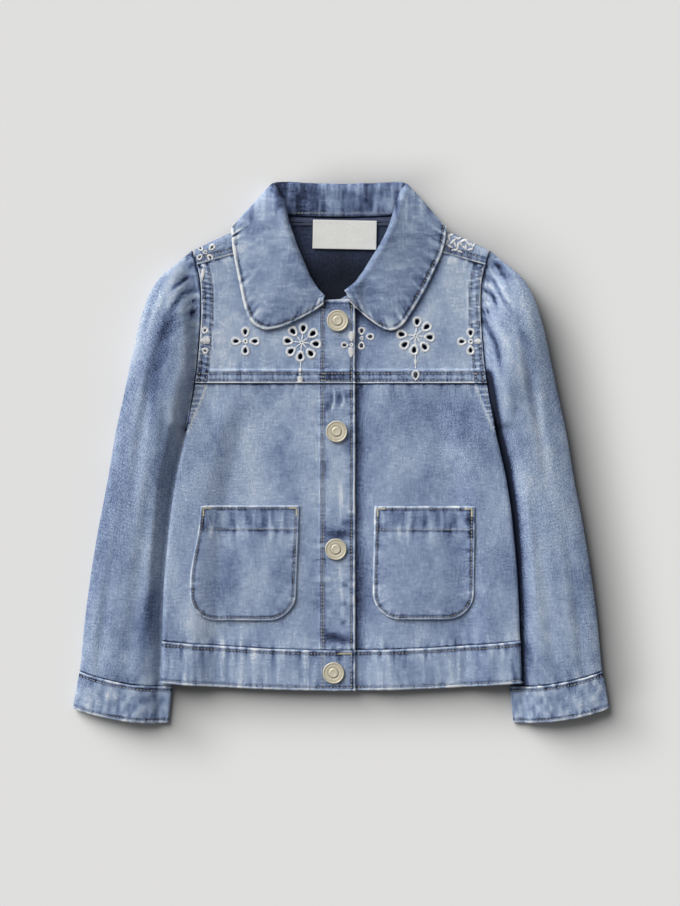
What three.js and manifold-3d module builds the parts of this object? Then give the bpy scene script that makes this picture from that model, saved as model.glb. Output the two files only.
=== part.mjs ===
// A toddler's light denim jacket with puff sleeves, laid flat on its back. Millimetres.
// X runs to the viewer's right, Y towards the collar and Z up from the surface it lies on.
// The wearer's right side is on the viewer's left, at negative X.
import * as THREE from 'three';
import { mergeVertices } from 'three/addons/utils/BufferGeometryUtils.js';
import Module from 'manifold-3d';

const wasm = await Module();
wasm.setup();
const { Manifold, Mesh: SolidMesh } = wasm;

// Cloth
const WALL = 1.4;
const BAND_WALL = 2.2;
const CUFF_WALL = 1.8;
const COLLAR_WALL = 2;
const SEAM_GAP = 0.3;
const SIDE_SEAM_GAP = 0.6;

// How thick the laid body is, from the surface of the back to the surface of the front
const MIDDLE_THICKNESS = [
  { y: -192, thickness: 7.1 },
  { y: -155, thickness: 7.1 },
  { y: -125, thickness: 6.6 },
  { y: 20, thickness: 6.5 },
  { y: 60, thickness: 6.8 },
  { y: 120, thickness: 7.2 },
  { y: 150, thickness: 7.8 },
  { y: 190, thickness: 8.8 },
];
const SIDE_THICKNESS = 5.8;
const SIDE_THICKNESS_AT_SHOULDER = 7;
const SIDE_THICKENS = { from: 20, to: 60 };
const MIDDLE_FLAT = 30;
const SIDE_FLAT = 110;

// Outline of the body: half its width at each height
const BODY_SIDE = [
  { y: -191, half: 144.5 },
  { y: -152, half: 143 },
  { y: -130, half: 142.6 },
  { y: -86, half: 140 },
  { y: -25, half: 132.8 },
  { y: 17.6, half: 123.2 },
  { y: 55, half: 116.6 },
  { y: 78, half: 114 },
  { y: 108, half: 111.8 },
  { y: 127, half: 111.8 },
  { y: 140, half: 113 },
  { y: 162, half: 118.6 },
];
const YOKE_Y = 55;
const YOKE_BAND = 10.4;
const YOKE_BAND_RAISE = 0.9;
const YOKE_BAND_STEP = 1;
const SHOULDER_TOP = 216.8;
const SHOULDER_SLOPE = 0.464;
const SHOULDER_UNDER_COLLAR = 3;
const SHOULDER_RISES = { from: 80, to: 92 };
const SHOULDER_SEAM_Y = 158;
const SHOULDER_SEAM_SLOPE = 0.28;
const SHOULDER_SEAM_X = 86;
const SHOULDER_FOLD = 5;

// The sides lie on the inner edges of the sleeves
const SIDE_LIFT = 5;
const SIDE_FOLD = 4;
const LIFT_FLAT = 24;
const LIFT_END = 46;
const LIFT_FADE = { full: 14, none: 55 };
const SIDE_SEAM_END = { closed: 13, open: 24 };

// The back lies on the fall of the collar
const COLLAR_LIFT = 2.7;
const COLLAR_LIFT_ZONE = { yNone: 134, yFull: 157, xFull: 91, xNone: 104 };

// Front opening
const FREE_EDGE_X = 11.2;
const UNDERLAP_X = -16;
const PLACKET_X = -17;
const PLACKET_RAISE = 0.6;
const PLACKET_STEP = 0.7;
const PLACKET_WALL = 2.4;
const UNDERLAP_DROP = 2.3;
const UNDERLAP_WALL = 1.6;
const UNDERLAP_FADE = { low: 12, high: 42 };
const UNDERLAP_BAND_PRESSED = 0.9;

// Hem band
const HEM_SEAM = { middle: -158.8, rise: 7.6 };
const HEM_EDGE = { middle: -190.8, rise: 6.4 };
const HEM_RAISE = 0.8;
const HEM_UNDERLAP_DROP = 2.5;
const HEM_SEAM_SIDE_Y = HEM_SEAM.middle + HEM_SEAM.rise;

// Neck
const NECK_HALF = 47.5;
const BACK_NECK_Y = 187.3;
const BACK_NECK_RISE = 1.6;
const PLACKET_TOP_Y = 122.4;
const PLACKET_CORNER = 5;
const UNDERLAP_TOP = { outX: -20, inX: -3, y: 121.4 };
const FRONT_NECK_RIGHT = [
  { x: -13, y: 121.6 },
  { x: -19, y: 124.6 },
  { x: -26.5, y: 132.2 },
  { x: -33, y: 145 },
  { x: -39.5, y: 160.5 },
  { x: -46.2, y: 182.5 },
  { x: -NECK_HALF, y: 194 },
];
const FRONT_NECK_LEFT = [
  { x: 3.5, y: 124.8 },
  { x: 15.4, y: 132.3 },
  { x: 23.3, y: 142 },
  { x: 31.2, y: 155.4 },
  { x: 37.8, y: 167 },
  { x: 43, y: 179 },
  { x: NECK_HALF, y: 194 },
];

// Collar: for each section, where it is sewn on, where it rolls over and where it ends.
// rise is the height of the roll over the yoke, and wrap goes from 0, on the front of the
// shoulder, through 0.5, on the fold of the collar, to 1, under the back.
const COLLAR_RIGHT = [
  { sewnX: -14.5, sewnY: 123.6, rollX: -13.4, rollY: 124.2, endX: -14.5, endY: 118.3, rise: 1.8, wrap: 0 },
  { sewnX: -18.4, sewnY: 126.2, rollX: -16.2, rollY: 127.4, endX: -21.6, endY: 113.2, rise: 2.4, wrap: 0 },
  { sewnX: -22.6, sewnY: 130, rollX: -19.6, rollY: 131.4, endX: -31.5, endY: 107.6, rise: 3.4, wrap: 0 },
  { sewnX: -26.6, sewnY: 135.8, rollX: -23.4, rollY: 137, endX: -42, endY: 102.6, rise: 4.2, wrap: 0 },
  { sewnX: -29.8, sewnY: 142.2, rollX: -26.6, rollY: 143, endX: -52.5, endY: 99, rise: 4.8, wrap: 0 },
  { sewnX: -32.8, sewnY: 149, rollX: -29.6, rollY: 150, endX: -62.5, endY: 98.4, rise: 5.4, wrap: 0 },
  { sewnX: -35.6, sewnY: 156, rollX: -32.6, rollY: 157, endX: -71, endY: 103.6, rise: 6, wrap: 0 },
  { sewnX: -38.4, sewnY: 163.2, rollX: -35.6, rollY: 164, endX: -76.4, endY: 115, rise: 6.4, wrap: 0 },
  { sewnX: -41, sewnY: 171, rollX: -38.4, rollY: 172, endX: -81, endY: 135, rise: 6.8, wrap: 0 },
  { sewnX: -43.4, sewnY: 178.6, rollX: -41.4, rollY: 181.4, endX: -85.2, endY: 155, rise: 7, wrap: 0 },
  { sewnX: -44.8, sewnY: 184.4, rollX: -44.2, rollY: 192, endX: -87, endY: 170, rise: 6.6, wrap: 0 },
  { sewnX: -45.4, sewnY: 188.6, rollX: -47.4, rollY: 203.6, endX: -87.2, endY: 174.6, rise: 5.2, wrap: 0.08 },
  { sewnX: -45.6, sewnY: 190.2, rollX: -52.4, rollY: 212.4, endX: -87.4, endY: 177.8, rise: 3, wrap: 0.26 },
  { sewnX: -45.2, sewnY: 190.8, rollX: -54, rollY: 215.6, endX: -87, endY: 179.4, rise: 1.5, wrap: 0.5 },
  { sewnX: -43.6, sewnY: 190.9, rollX: -51.6, rollY: 216, endX: -84.8, endY: 177, rise: 1, wrap: 0.74 },
  { sewnX: -40.6, sewnY: 190.4, rollX: -45.6, rollY: 216, endX: -80.4, endY: 170.6, rise: 1, wrap: 0.93 },
  { sewnX: -34, sewnY: 189.6, rollX: -36, rollY: 215.4, endX: -66, endY: 164.6, rise: 1, wrap: 1 },
  { sewnX: -22, sewnY: 189.1, rollX: -23, rollY: 214.8, endX: -42, endY: 161.8, rise: 1, wrap: 1 },
  { sewnX: -10, sewnY: 188.8, rollX: -10, rollY: 214.4, endX: -18, endY: 161, rise: 1, wrap: 1 },
];
const COLLAR_LEFT = [
  { sewnX: 4.6, sewnY: 127.4, rollX: 3.4, rollY: 128.2, endX: 7.6, endY: 120.8, rise: 1.8, wrap: 0 },
  { sewnX: 9.6, sewnY: 130.3, rollX: 7.4, rollY: 131.6, endX: 16, endY: 112.6, rise: 2.4, wrap: 0 },
  { sewnX: 14.4, sewnY: 133.6, rollX: 12, rollY: 135.2, endX: 25.4, endY: 104.3, rise: 3.4, wrap: 0 },
  { sewnX: 18.6, sewnY: 138.8, rollX: 15.8, rollY: 140.4, endX: 34, endY: 98.8, rise: 4.2, wrap: 0 },
  { sewnX: 22, sewnY: 143.8, rollX: 19.2, rollY: 145, endX: 41, endY: 97.2, rise: 4.8, wrap: 0 },
  { sewnX: 25.6, sewnY: 149.6, rollX: 22.6, rollY: 150.8, endX: 48.4, endY: 100.8, rise: 5.4, wrap: 0 },
  { sewnX: 29.4, sewnY: 156, rollX: 26.4, rollY: 157, endX: 57, endY: 112.8, rise: 6, wrap: 0 },
  { sewnX: 33, sewnY: 162.2, rollX: 30.4, rollY: 163.4, endX: 66.8, endY: 130, rise: 6.4, wrap: 0 },
  { sewnX: 36.8, sewnY: 169, rollX: 34.4, rollY: 170.2, endX: 75.4, endY: 147, rise: 6.8, wrap: 0 },
  { sewnX: 40.4, sewnY: 176.6, rollX: 38.8, rollY: 180.2, endX: 81, endY: 160, rise: 7, wrap: 0 },
  { sewnX: 43, sewnY: 182.8, rollX: 42.8, rollY: 191.8, endX: 83.4, endY: 171, rise: 6.6, wrap: 0 },
  { sewnX: 44.4, sewnY: 188.4, rollX: 46, rollY: 203.2, endX: 83.6, endY: 175, rise: 5.2, wrap: 0.08 },
  { sewnX: 45.4, sewnY: 190.2, rollX: 50.6, rollY: 212, endX: 83.8, endY: 177.6, rise: 3, wrap: 0.26 },
  { sewnX: 45, sewnY: 190.8, rollX: 52.2, rollY: 215.2, endX: 83.6, endY: 179, rise: 1.5, wrap: 0.5 },
  { sewnX: 43.4, sewnY: 190.9, rollX: 50, rollY: 215.7, endX: 81.6, endY: 176.8, rise: 1, wrap: 0.74 },
  { sewnX: 40.6, sewnY: 190.4, rollX: 45, rollY: 215.8, endX: 77.6, endY: 170.6, rise: 1, wrap: 0.93 },
  { sewnX: 34, sewnY: 189.6, rollX: 36, rollY: 215.4, endX: 64, endY: 164.6, rise: 1, wrap: 1 },
  { sewnX: 22, sewnY: 189.1, rollX: 23, rollY: 214.8, endX: 42, endY: 161.8, rise: 1, wrap: 1 },
  { sewnX: 10, sewnY: 188.8, rollX: 10, rollY: 214.4, endX: 18, endY: 161, rise: 1, wrap: 1 },
];
const COLLAR_REST = 1.5;
const COLLAR_CROWN = 1;
const COLLAR_UNDER_Z = 1;
const COLLAR_STAND_BACK = 4.4;
const COLLAR_STAND_OVER = 1;
const COLLAR_ROLL_SHARE = 0.6;
const COLLAR_FOLD_Z = 2.7;
const COLLAR_TOP_SEWN_Y = 186;
const COLLAR_STEP_DOWN = { from: 1, to: 7 };

// Sleeve, drawn on the viewer's right and mirrored
const SLEEVE_OUTER_EDGE = [
  { x: 119.6, y: 161.4 },
  { x: 133, y: 150 },
  { x: 146, y: 138 },
  { x: 154.5, y: 123 },
  { x: 161, y: 103 },
  { x: 168, y: 72 },
  { x: 174, y: 44 },
  { x: 180, y: 17 },
  { x: 187, y: -24 },
  { x: 194, y: -60 },
  { x: 200, y: -96 },
  { x: 205, y: -133 },
  { x: 208.5, y: -168 },
  { x: 209.5, y: -175.4 },
];
const SLEEVE_INNER_EDGE = [
  { x: 124.3, y: 17 },
  { x: 121.4, y: 5 },
  { x: 119, y: -10 },
  { x: 118, y: -40 },
  { x: 120, y: -80 },
  { x: 124, y: -120 },
  { x: 129, y: -155 },
  { x: 135.9, y: -187.9 },
];
const INNER_EDGE_LAG = 1.9;
const SLEEVE_HEIGHT = [
  { along: 0, crown: 8 },
  { along: 0.05, crown: 16 },
  { along: 0.1, crown: 20.5 },
  { along: 0.17, crown: 22 },
  { along: 0.3, crown: 19.5 },
  { along: 0.5, crown: 17 },
  { along: 0.75, crown: 15 },
  { along: 0.92, crown: 12.6 },
  { along: 1, crown: 11 },
];
const SLEEVE_STATIONS = [0, 0.022, 0.05, 0.085, 0.125, 0.175, 0.24, 0.32, 0.41, 0.5, 0.6, 0.7, 0.8, 0.88, 0.95, 1];
const SLEEVE_SEAM_OFFSET = 1;
const TUCKED_HEIGHT = 4.4;
const TUCKED_FOLD = 2.2;
const TUCK_SLOPE = 1.1;
const TUCK_MARGIN = 2;
const OUTER_FOLD = 6;
const OUTER_END_SHARE = 0.4;
const ARMHOLE_HEIGHT = { low: 4.2, most: 11 };
const PUFFED_BY = 0.07;
const UNTUCKED = { from: 18, to: 40, height: 40 };
const PLEAT_COUNT = 6;
const PLEAT_START = 0.56;
const PLEAT_END = 0.94;
const PLEAT_DEPTH = [
  { along: 0, depth: 1 },
  { along: 0.022, depth: 3 },
  { along: 0.06, depth: 3.2 },
  { along: 0.13, depth: 1.6 },
  { along: 0.24, depth: 0 },
];
const SLEEVE_TROUGHS = [
  { across: 0.69, width: 0.1, from: 0.04, to: 0.62, depth: 3.4 },
  { across: 0.4, width: 0.12, from: 0.16, to: 0.55, depth: 2.4 },
  { across: 0.5, width: 0.13, from: 0.5, to: 1.05, depth: 2.2 },
  { across: 0.8, width: 0.09, from: 0.6, to: 1.1, depth: 1.6 },
];
const CUFF = { innerX: 138.8, innerY: -216.84, outerX: 215, outerY: -205.2, crown: 11.4, endCrown: 10.6, bow: 3.4 };
const CUFF_GROW = 0.5;
const CUFF_RAISE = 0.2;
const CUFF_INNER_FOLD = 2.4;
const CUFF_INNER_END = 2.3;
const CUFF_OUTER_FOLD = 5;
const CUFF_OUTER_SHARE = 0.45;
const CUFF_LOWEST_TUCK_Y = -192;

// Pockets: corners of each patch, in the order of the viewer's eye
const POCKETS = [
  { name: 'pocket_right', left: -120.4, leftTop: -112, right: -33.4, rightLow: -36.8, top: -43, bottom: -134.6 },
  { name: 'pocket_left', left: 25.8, leftTop: 27.1, right: 106.7, rightLow: 106, top: -43.6, bottom: -133.8 },
];
const POCKET_CORNER = 21;
const POCKET_GAP = 0.6;
const POCKET_BULGE = 1.4;

// Buttons, down the front
const BUTTON_RADIUS = 8.6;
const BUTTON_HEIGHT = 2.6;
const BUTTONS = [
  { name: 'button_1', x: -2.7, y: 105 },
  { name: 'button_2', x: -3.5, y: 16.3 },
  { name: 'button_3', x: -4.1, y: -77.8 },
  { name: 'button_4', x: -6, y: -176.6 },
];

// Cut flowers on the yoke: the holes of the two large ones
const FLOWERS = [
  { panel: 'yoke_right', x: -31.3, y: 87.6, skip: [] },
  { panel: 'yoke_left', x: 59.8, y: 92.9, skip: [7] },
];
const FLOWER_PETALS = 8;
const FLOWER_RADIUS = 11.2;
const FLOWER_TURN = 6;
const EYELET = { across: 3.2, along: 4.8, sides: 8 };

// Neck tape and woven label inside the back
const NECK_TAPE = { left: -42, right: 41, low: 181.4, high: 186.6, thickness: 0.8 };
const LABEL = { left: -22.6, right: 28.5, low: 162.4, high: 185.6, thickness: 0.6, tilt: 1.1 };

// Upright cutting prisms reach past the cloth on every side
const CUT_LOW = -5;
const CUT_HIGH = 40;
const CUT_BEYOND_X = 40;
const CUT_BEYOND_Y = 260;
const CUT_BELOW_Y = 100;
const FRONT_ABOVE_Z = 4.9;
const MERGE_DISTANCE = 1e-4;

const finish = (color, roughness, metalness) => new THREE.MeshStandardMaterial({ color, roughness, metalness });
const DENIM = finish(0x8296b9, 0.92, 0);
const METAL = finish(0xc8be9e, 0.38, 0.85);
const TAPE = finish(0x6f7f9c, 0.9, 0);
const LABEL_CLOTH = finish(0xf2f2ee, 0.8, 0);

const lerp = THREE.MathUtils.lerp;
const smooth = (low, high, value) => THREE.MathUtils.smoothstep(value, low, high);

// A smooth curve through one column of a table, flat beyond its ends.
function tableCurve(rows, along, column) {
  const xs = rows.map((row) => row[along]);
  const ys = rows.map((row) => row[column]);
  const slopes = xs.map((_, i) => {
    const before = Math.max(i - 1, 0);
    const after = Math.min(i + 1, xs.length - 1);
    return (ys[after] - ys[before]) / (xs[after] - xs[before]);
  });
  return (x) => {
    if (x <= xs[0]) return ys[0];
    if (x >= xs.at(-1)) return ys.at(-1);
    const i = xs.findIndex((edge) => edge > x) - 1;
    const span = xs[i + 1] - xs[i];
    const t = (x - xs[i]) / span;
    const rise = ys[i + 1] - ys[i];
    const bend = t * (1 - t) * ((slopes[i] * span - rise) * (1 - t) + (rise - slopes[i + 1] * span) * t);
    return ys[i] + rise * t + bend;
  };
}

// How far a fold has risen, from 0 at its edge to 1 a radius in from it.
function foldOver(distance, radius) {
  const t = THREE.MathUtils.clamp(distance / radius, 0, 1);
  return Math.sqrt(1 - (1 - t) ** 2);
}

const halfWidth = tableCurve(BODY_SIDE, 'y', 'half');
const middleThickness = tableCurve(MIDDLE_THICKNESS, 'y', 'thickness');
const hemSeamY = (x) => HEM_SEAM.middle + HEM_SEAM.rise * (x / halfWidth(HEM_SEAM.middle)) ** 2;
const hemEdgeY = (x) => HEM_EDGE.middle + HEM_EDGE.rise * (x / halfWidth(HEM_EDGE.middle)) ** 2;
const shoulderSeamY = (x) => SHOULDER_SEAM_Y + SHOULDER_SEAM_SLOPE * (SHOULDER_SEAM_X - Math.abs(x));

function shoulderY(x) {
  const out = Math.max(Math.abs(x), NECK_HALF);
  const underCollar = 1 - smooth(SHOULDER_RISES.from, SHOULDER_RISES.to, out);
  return SHOULDER_TOP - SHOULDER_SLOPE * out - SHOULDER_UNDER_COLLAR * underCollar;
}

function bodyThickness(x, y) {
  const upwards = smooth(SIDE_THICKENS.from, SIDE_THICKENS.to, y);
  const side = lerp(SIDE_THICKNESS, SIDE_THICKNESS_AT_SHOULDER, upwards);
  return lerp(middleThickness(y), side, smooth(MIDDLE_FLAT, SIDE_FLAT, Math.abs(x)));
}

function sideLift(x, y) {
  const inset = halfWidth(y) - Math.abs(x);
  const upwards = 1 - smooth(LIFT_FADE.full, LIFT_FADE.none, y);
  return SIDE_LIFT * upwards * (1 - smooth(LIFT_FLAT, LIFT_END, inset));
}

// The surface that the panel of the front lies along, before its edges are raised.
function frontZ(x, y) {
  const lift = sideLift(x, y);
  const thickness = bodyThickness(x, y);
  const closed = 1 - smooth(SIDE_SEAM_END.closed, SIDE_SEAM_END.open, y);
  const fold = foldOver(halfWidth(y) - Math.abs(x), SIDE_FOLD);
  const rounded = lift + (thickness + SIDE_SEAM_GAP) / 2 + ((thickness - SIDE_SEAM_GAP) / 2) * fold;
  return lerp(lift + thickness, rounded, closed);
}

function collarLift(x, y) {
  const { yNone, yFull, xFull, xNone } = COLLAR_LIFT_ZONE;
  return COLLAR_LIFT * smooth(yNone, yFull, y) * (1 - smooth(xFull, xNone, Math.abs(x)));
}

// The underside of the back.
function backZ(x, y) {
  const lift = Math.max(sideLift(x, y), collarLift(x, y));
  const thickness = bodyThickness(x, y);
  const closed = 1 - smooth(SIDE_SEAM_END.closed, SIDE_SEAM_END.open, y);
  const fold = foldOver(halfWidth(y) - Math.abs(x), SIDE_FOLD);
  return lift + closed * ((thickness - SIDE_SEAM_GAP) / 2) * (1 - fold);
}

const underlap = (x) => 1 - smooth(UNDERLAP_FADE.low, UNDERLAP_FADE.high, x);
const BAND_TOP_Y = YOKE_Y + YOKE_BAND;
const yokeBand = (y) => YOKE_BAND_RAISE * (1 - smooth(BAND_TOP_Y, BAND_TOP_Y + YOKE_BAND_STEP, y));
const placket = (x) => smooth(PLACKET_X - PLACKET_STEP, PLACKET_X, x);

// The outer surface of the front as sewn, on each side of the opening.
function rightFrontZ(x, y) {
  return frontZ(x, y) + PLACKET_RAISE * placket(x);
}

function leftFrontZ(x, y) {
  return frontZ(x, y) - UNDERLAP_DROP * underlap(x);
}

function yokeRightZ(x, y) {
  return rightFrontZ(x, y) + yokeBand(y);
}

function yokeLeftZ(x, y) {
  return leftFrontZ(x, y) + yokeBand(y) * (1 - underlap(x) * UNDERLAP_BAND_PRESSED);
}

// What the left half of the collar lies on: the corner of the placket, then its own yoke.
function underLeftLobeZ(x, y) {
  const { from, to } = COLLAR_STEP_DOWN;
  const over = smooth(FREE_EDGE_X + from, FREE_EDGE_X + to, x);
  return lerp(yokeRightZ(Math.min(x, FREE_EDGE_X), y), yokeLeftZ(x, y), over);
}

// A closed wall of cloth on a grid of points, thickened to the side away from its face.
// axes gives each row its own direction along the piece, for a tube whose rows crowd together.
function clothWall(points, { wall = WALL, face = 1, ring = false, axes = null }) {
  const rows = points.length;
  const columns = points[0].length;
  const count = rows * columns;
  const pick = (r, c) => {
    const column = ring ? (c + columns) % columns : THREE.MathUtils.clamp(c, 0, columns - 1);
    return points[THREE.MathUtils.clamp(r, 0, rows - 1)][column];
  };
  const normalAt = (r, c) => {
    const across = pick(r, c + 1).clone().sub(pick(r, c - 1));
    const along = axes ? axes[r] : pick(r + 1, c).clone().sub(pick(r - 1, c));
    return across.cross(along).normalize().multiplyScalar(face);
  };
  const inner = points.map((row, r) =>
    row.map((point, c) => {
      const depth = typeof wall === 'function' ? wall(point, r, c) : wall;
      return point.clone().addScaledVector(normalAt(r, c), -depth);
    }),
  );
  const positions = [...points.flat(), ...inner.flat()].flatMap((point) => point.toArray());
  const index = [];
  const quad = (a, b, c, d) => index.push(a, b, c, a, c, d);
  const at = (r, c) => r * columns + (c % columns);
  const lastColumn = ring ? columns : columns - 1;
  for (let r = 0; r < rows - 1; r++) {
    for (let c = 0; c < lastColumn; c++) {
      quad(at(r, c), at(r, c + 1), at(r + 1, c + 1), at(r + 1, c));
      quad(count + at(r, c), count + at(r + 1, c), count + at(r + 1, c + 1), count + at(r, c + 1));
    }
    if (ring) continue;
    quad(at(r, 0), at(r + 1, 0), count + at(r + 1, 0), count + at(r, 0));
    const last = columns - 1;
    quad(at(r, last), count + at(r, last), count + at(r + 1, last), at(r + 1, last));
  }
  for (let c = 0; c < lastColumn; c++) {
    const top = rows - 1;
    quad(at(0, c), count + at(0, c), count + at(0, c + 1), at(0, c + 1));
    quad(at(top, c), at(top, c + 1), count + at(top, c + 1), count + at(top, c));
  }
  if (face < 0) index.reverse();
  const geometry = new THREE.BufferGeometry();
  geometry.setAttribute('position', new THREE.Float32BufferAttribute(positions, 3));
  geometry.setIndex(index);
  return geometry;
}

function toSolid(geometry) {
  const bare = geometry.clone();
  bare.deleteAttribute('normal');
  bare.deleteAttribute('uv');
  const merged = mergeVertices(bare, MERGE_DISTANCE);
  return new Manifold(
    new SolidMesh({
      numProp: 3,
      vertProperties: merged.attributes.position.array,
      triVerts: Uint32Array.from(merged.index.array),
    }),
  );
}

function toGeometry(solid) {
  const { vertProperties, triVerts } = solid.getMesh();
  const geometry = new THREE.BufferGeometry();
  geometry.setAttribute('position', new THREE.Float32BufferAttribute(vertProperties, 3));
  geometry.setIndex([...triVerts]);
  return geometry;
}

// An upright prism on an outline of {x, y} rows.
function prism(outline, low = CUT_LOW, high = CUT_HIGH) {
  const shape = new THREE.Shape(outline.map(({ x, y }) => new THREE.Vector2(x, y)));
  const geometry = new THREE.ExtrudeGeometry(shape, { depth: high - low, bevelEnabled: false });
  return toSolid(geometry.translate(0, 0, low));
}

function piece(name, geometry, material) {
  geometry.computeVertexNormals();
  const mesh = new THREE.Mesh(geometry, material);
  mesh.name = name;
  return mesh;
}

// Steps from one end to the other, both counted.
const steps = (from, to, count) => Array.from({ length: count + 1 }, (_, i) => lerp(from, to, i / count));

// How far in from the side each column of a panel lies, before the even columns of its middle.
const SIDE_COLUMNS = [0, 0.1, 1.2, SIDE_FOLD, LIFT_FLAT, 35, LIFT_END];

// The columns of one front, from its side to its opening edge.
function frontColumns(sign, y, openings) {
  const half = halfWidth(y);
  const sides = SIDE_COLUMNS.map((inset) => sign * (half - inset));
  const start = sides.at(-1);
  const middle = openings.map((stop) => (typeof stop === 'object' ? lerp(start, stop.before, stop.share) : stop));
  return [...sides, ...middle];
}

const RIGHT_COLUMNS = [
  { before: PLACKET_X - PLACKET_STEP, share: 0.34 },
  { before: PLACKET_X - PLACKET_STEP, share: 0.67 },
  PLACKET_X - PLACKET_STEP,
  PLACKET_X,
  -7,
  3,
  FREE_EDGE_X,
];
const LEFT_COLUMNS = [
  { before: UNDERLAP_FADE.high, share: 0.4 },
  { before: UNDERLAP_FADE.high, share: 0.75 },
  UNDERLAP_FADE.high,
  32,
  22,
  UNDERLAP_FADE.low,
  -2,
  UNDERLAP_X,
];

function panelGrid(sign, columns, heights, zAt) {
  return heights.map(({ nominal, share, low, high }) =>
    frontColumns(sign, nominal, columns).map((x) => {
      const y = share === undefined ? nominal : lerp(low(x), high(x), share);
      return new THREE.Vector3(x, y, zAt(x, y));
    }),
  );
}

// Rows of a lower front, from the hem seam to the yoke seam.
const FRONT_ROWS = [
  { nominal: HEM_SEAM_SIDE_Y, share: 0, low: (x) => hemSeamY(x) + SEAM_GAP / 2, high: () => YOKE_Y },
  ...[-130, -100, -70, -40, -15, 4, 13, 18, 24, 32, 42].map((y) => ({ nominal: y })),
  { nominal: YOKE_Y - SEAM_GAP / 2 },
];

function frontPanel(name, sign, columns, zAt, wall) {
  const points = panelGrid(sign, columns, FRONT_ROWS, zAt);
  return piece(name, clothWall(points, { wall, face: -sign }), DENIM);
}

const rightWall = ({ x }) => lerp(WALL, PLACKET_WALL, placket(x));
const leftWall = ({ x }) => lerp(WALL, UNDERLAP_WALL, underlap(x));

// Rows of a yoke: level up to one height, and from there up slanting to the shoulder seam,
// which is at ARMHOLE_TOP_Y where it meets the armhole.
const YOKE_LEVEL_Y = 124;
const ARMHOLE_TOP_Y = 149.6;
const YOKE_ROWS = [
  ...[YOKE_Y + SEAM_GAP / 2, BAND_TOP_Y, BAND_TOP_Y + YOKE_BAND_STEP].map((y) => ({ nominal: y })),
  ...[80, 96, 112, YOKE_LEVEL_Y].map((y) => ({ nominal: y })),
  ...[0.35, 0.7, 1].map((share) => ({
    nominal: lerp(YOKE_LEVEL_Y, ARMHOLE_TOP_Y, share),
    share,
    low: () => YOKE_LEVEL_Y,
    high: (x) => shoulderSeamY(x) - SEAM_GAP / 2,
  })),
];

// What the neck opening takes from the right yoke, with the round corner of the placket.
function rightNeckCut() {
  const centre = { x: FREE_EDGE_X - PLACKET_CORNER, y: PLACKET_TOP_Y - PLACKET_CORNER };
  const corner = steps(0, Math.PI / 2, 4).map((angle) => ({
    x: centre.x + PLACKET_CORNER * Math.cos(angle),
    y: centre.y + PLACKET_CORNER * Math.sin(angle),
  }));
  return prism([
    { x: CUT_BEYOND_X, y: centre.y },
    ...corner,
    ...FRONT_NECK_RIGHT,
    { x: -NECK_HALF, y: CUT_BEYOND_Y },
    { x: CUT_BEYOND_X, y: CUT_BEYOND_Y },
  ]);
}

// What it takes from the left yoke, whose front edge ends under the placket's.
function leftNeckCut() {
  const { outX, inX, y } = UNDERLAP_TOP;
  return prism([
    { x: outX, y: CUT_BEYOND_Y },
    { x: outX, y },
    { x: inX, y },
    ...FRONT_NECK_LEFT,
    { x: NECK_HALF, y: CUT_BEYOND_Y },
  ]);
}

// The holes of one cut flower, each longer towards the flower's middle.
function flowerHoles({ x, y, skip }) {
  return steps(0, FLOWER_PETALS - 1, FLOWER_PETALS - 1)
    .filter((petal) => !skip.includes(petal))
    .map((petal) => {
      const angle = THREE.MathUtils.degToRad(90 - (360 / FLOWER_PETALS) * petal - FLOWER_TURN);
      const outline = steps(0, 2 * Math.PI, EYELET.sides)
        .slice(0, -1)
        .map((turn) => {
          const out = FLOWER_RADIUS + (EYELET.along / 2) * Math.cos(turn);
          const aside = (EYELET.across / 2) * Math.sin(turn);
          return {
            x: x + out * Math.cos(angle) - aside * Math.sin(angle),
            y: y + out * Math.sin(angle) + aside * Math.cos(angle),
          };
        });
      return prism(outline);
    });
}

function yokePanel(name, sign, columns, zAt, wall, neckCut) {
  const points = panelGrid(sign, columns, YOKE_ROWS, zAt);
  let solid = toSolid(clothWall(points, { wall, face: -sign })).subtract(neckCut);
  for (const flower of FLOWERS.filter(({ panel }) => panel === name)) {
    for (const hole of flowerHoles(flower)) solid = solid.subtract(hole);
  }
  return piece(name, toGeometry(solid), DENIM);
}

// The back, whose top edges fold over the shoulders and reach the shoulder seams on the front.
const BACK_LEVEL_ROWS = [-125, -85, -45, -10, 13, 24, 38, 55, 90, 134];
const BACK_LEVEL_Y = BACK_LEVEL_ROWS.at(-1);
const BACK_SIDE_Y = { underFold: 156, fold: 160, overFold: 157, end: 150 };

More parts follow.
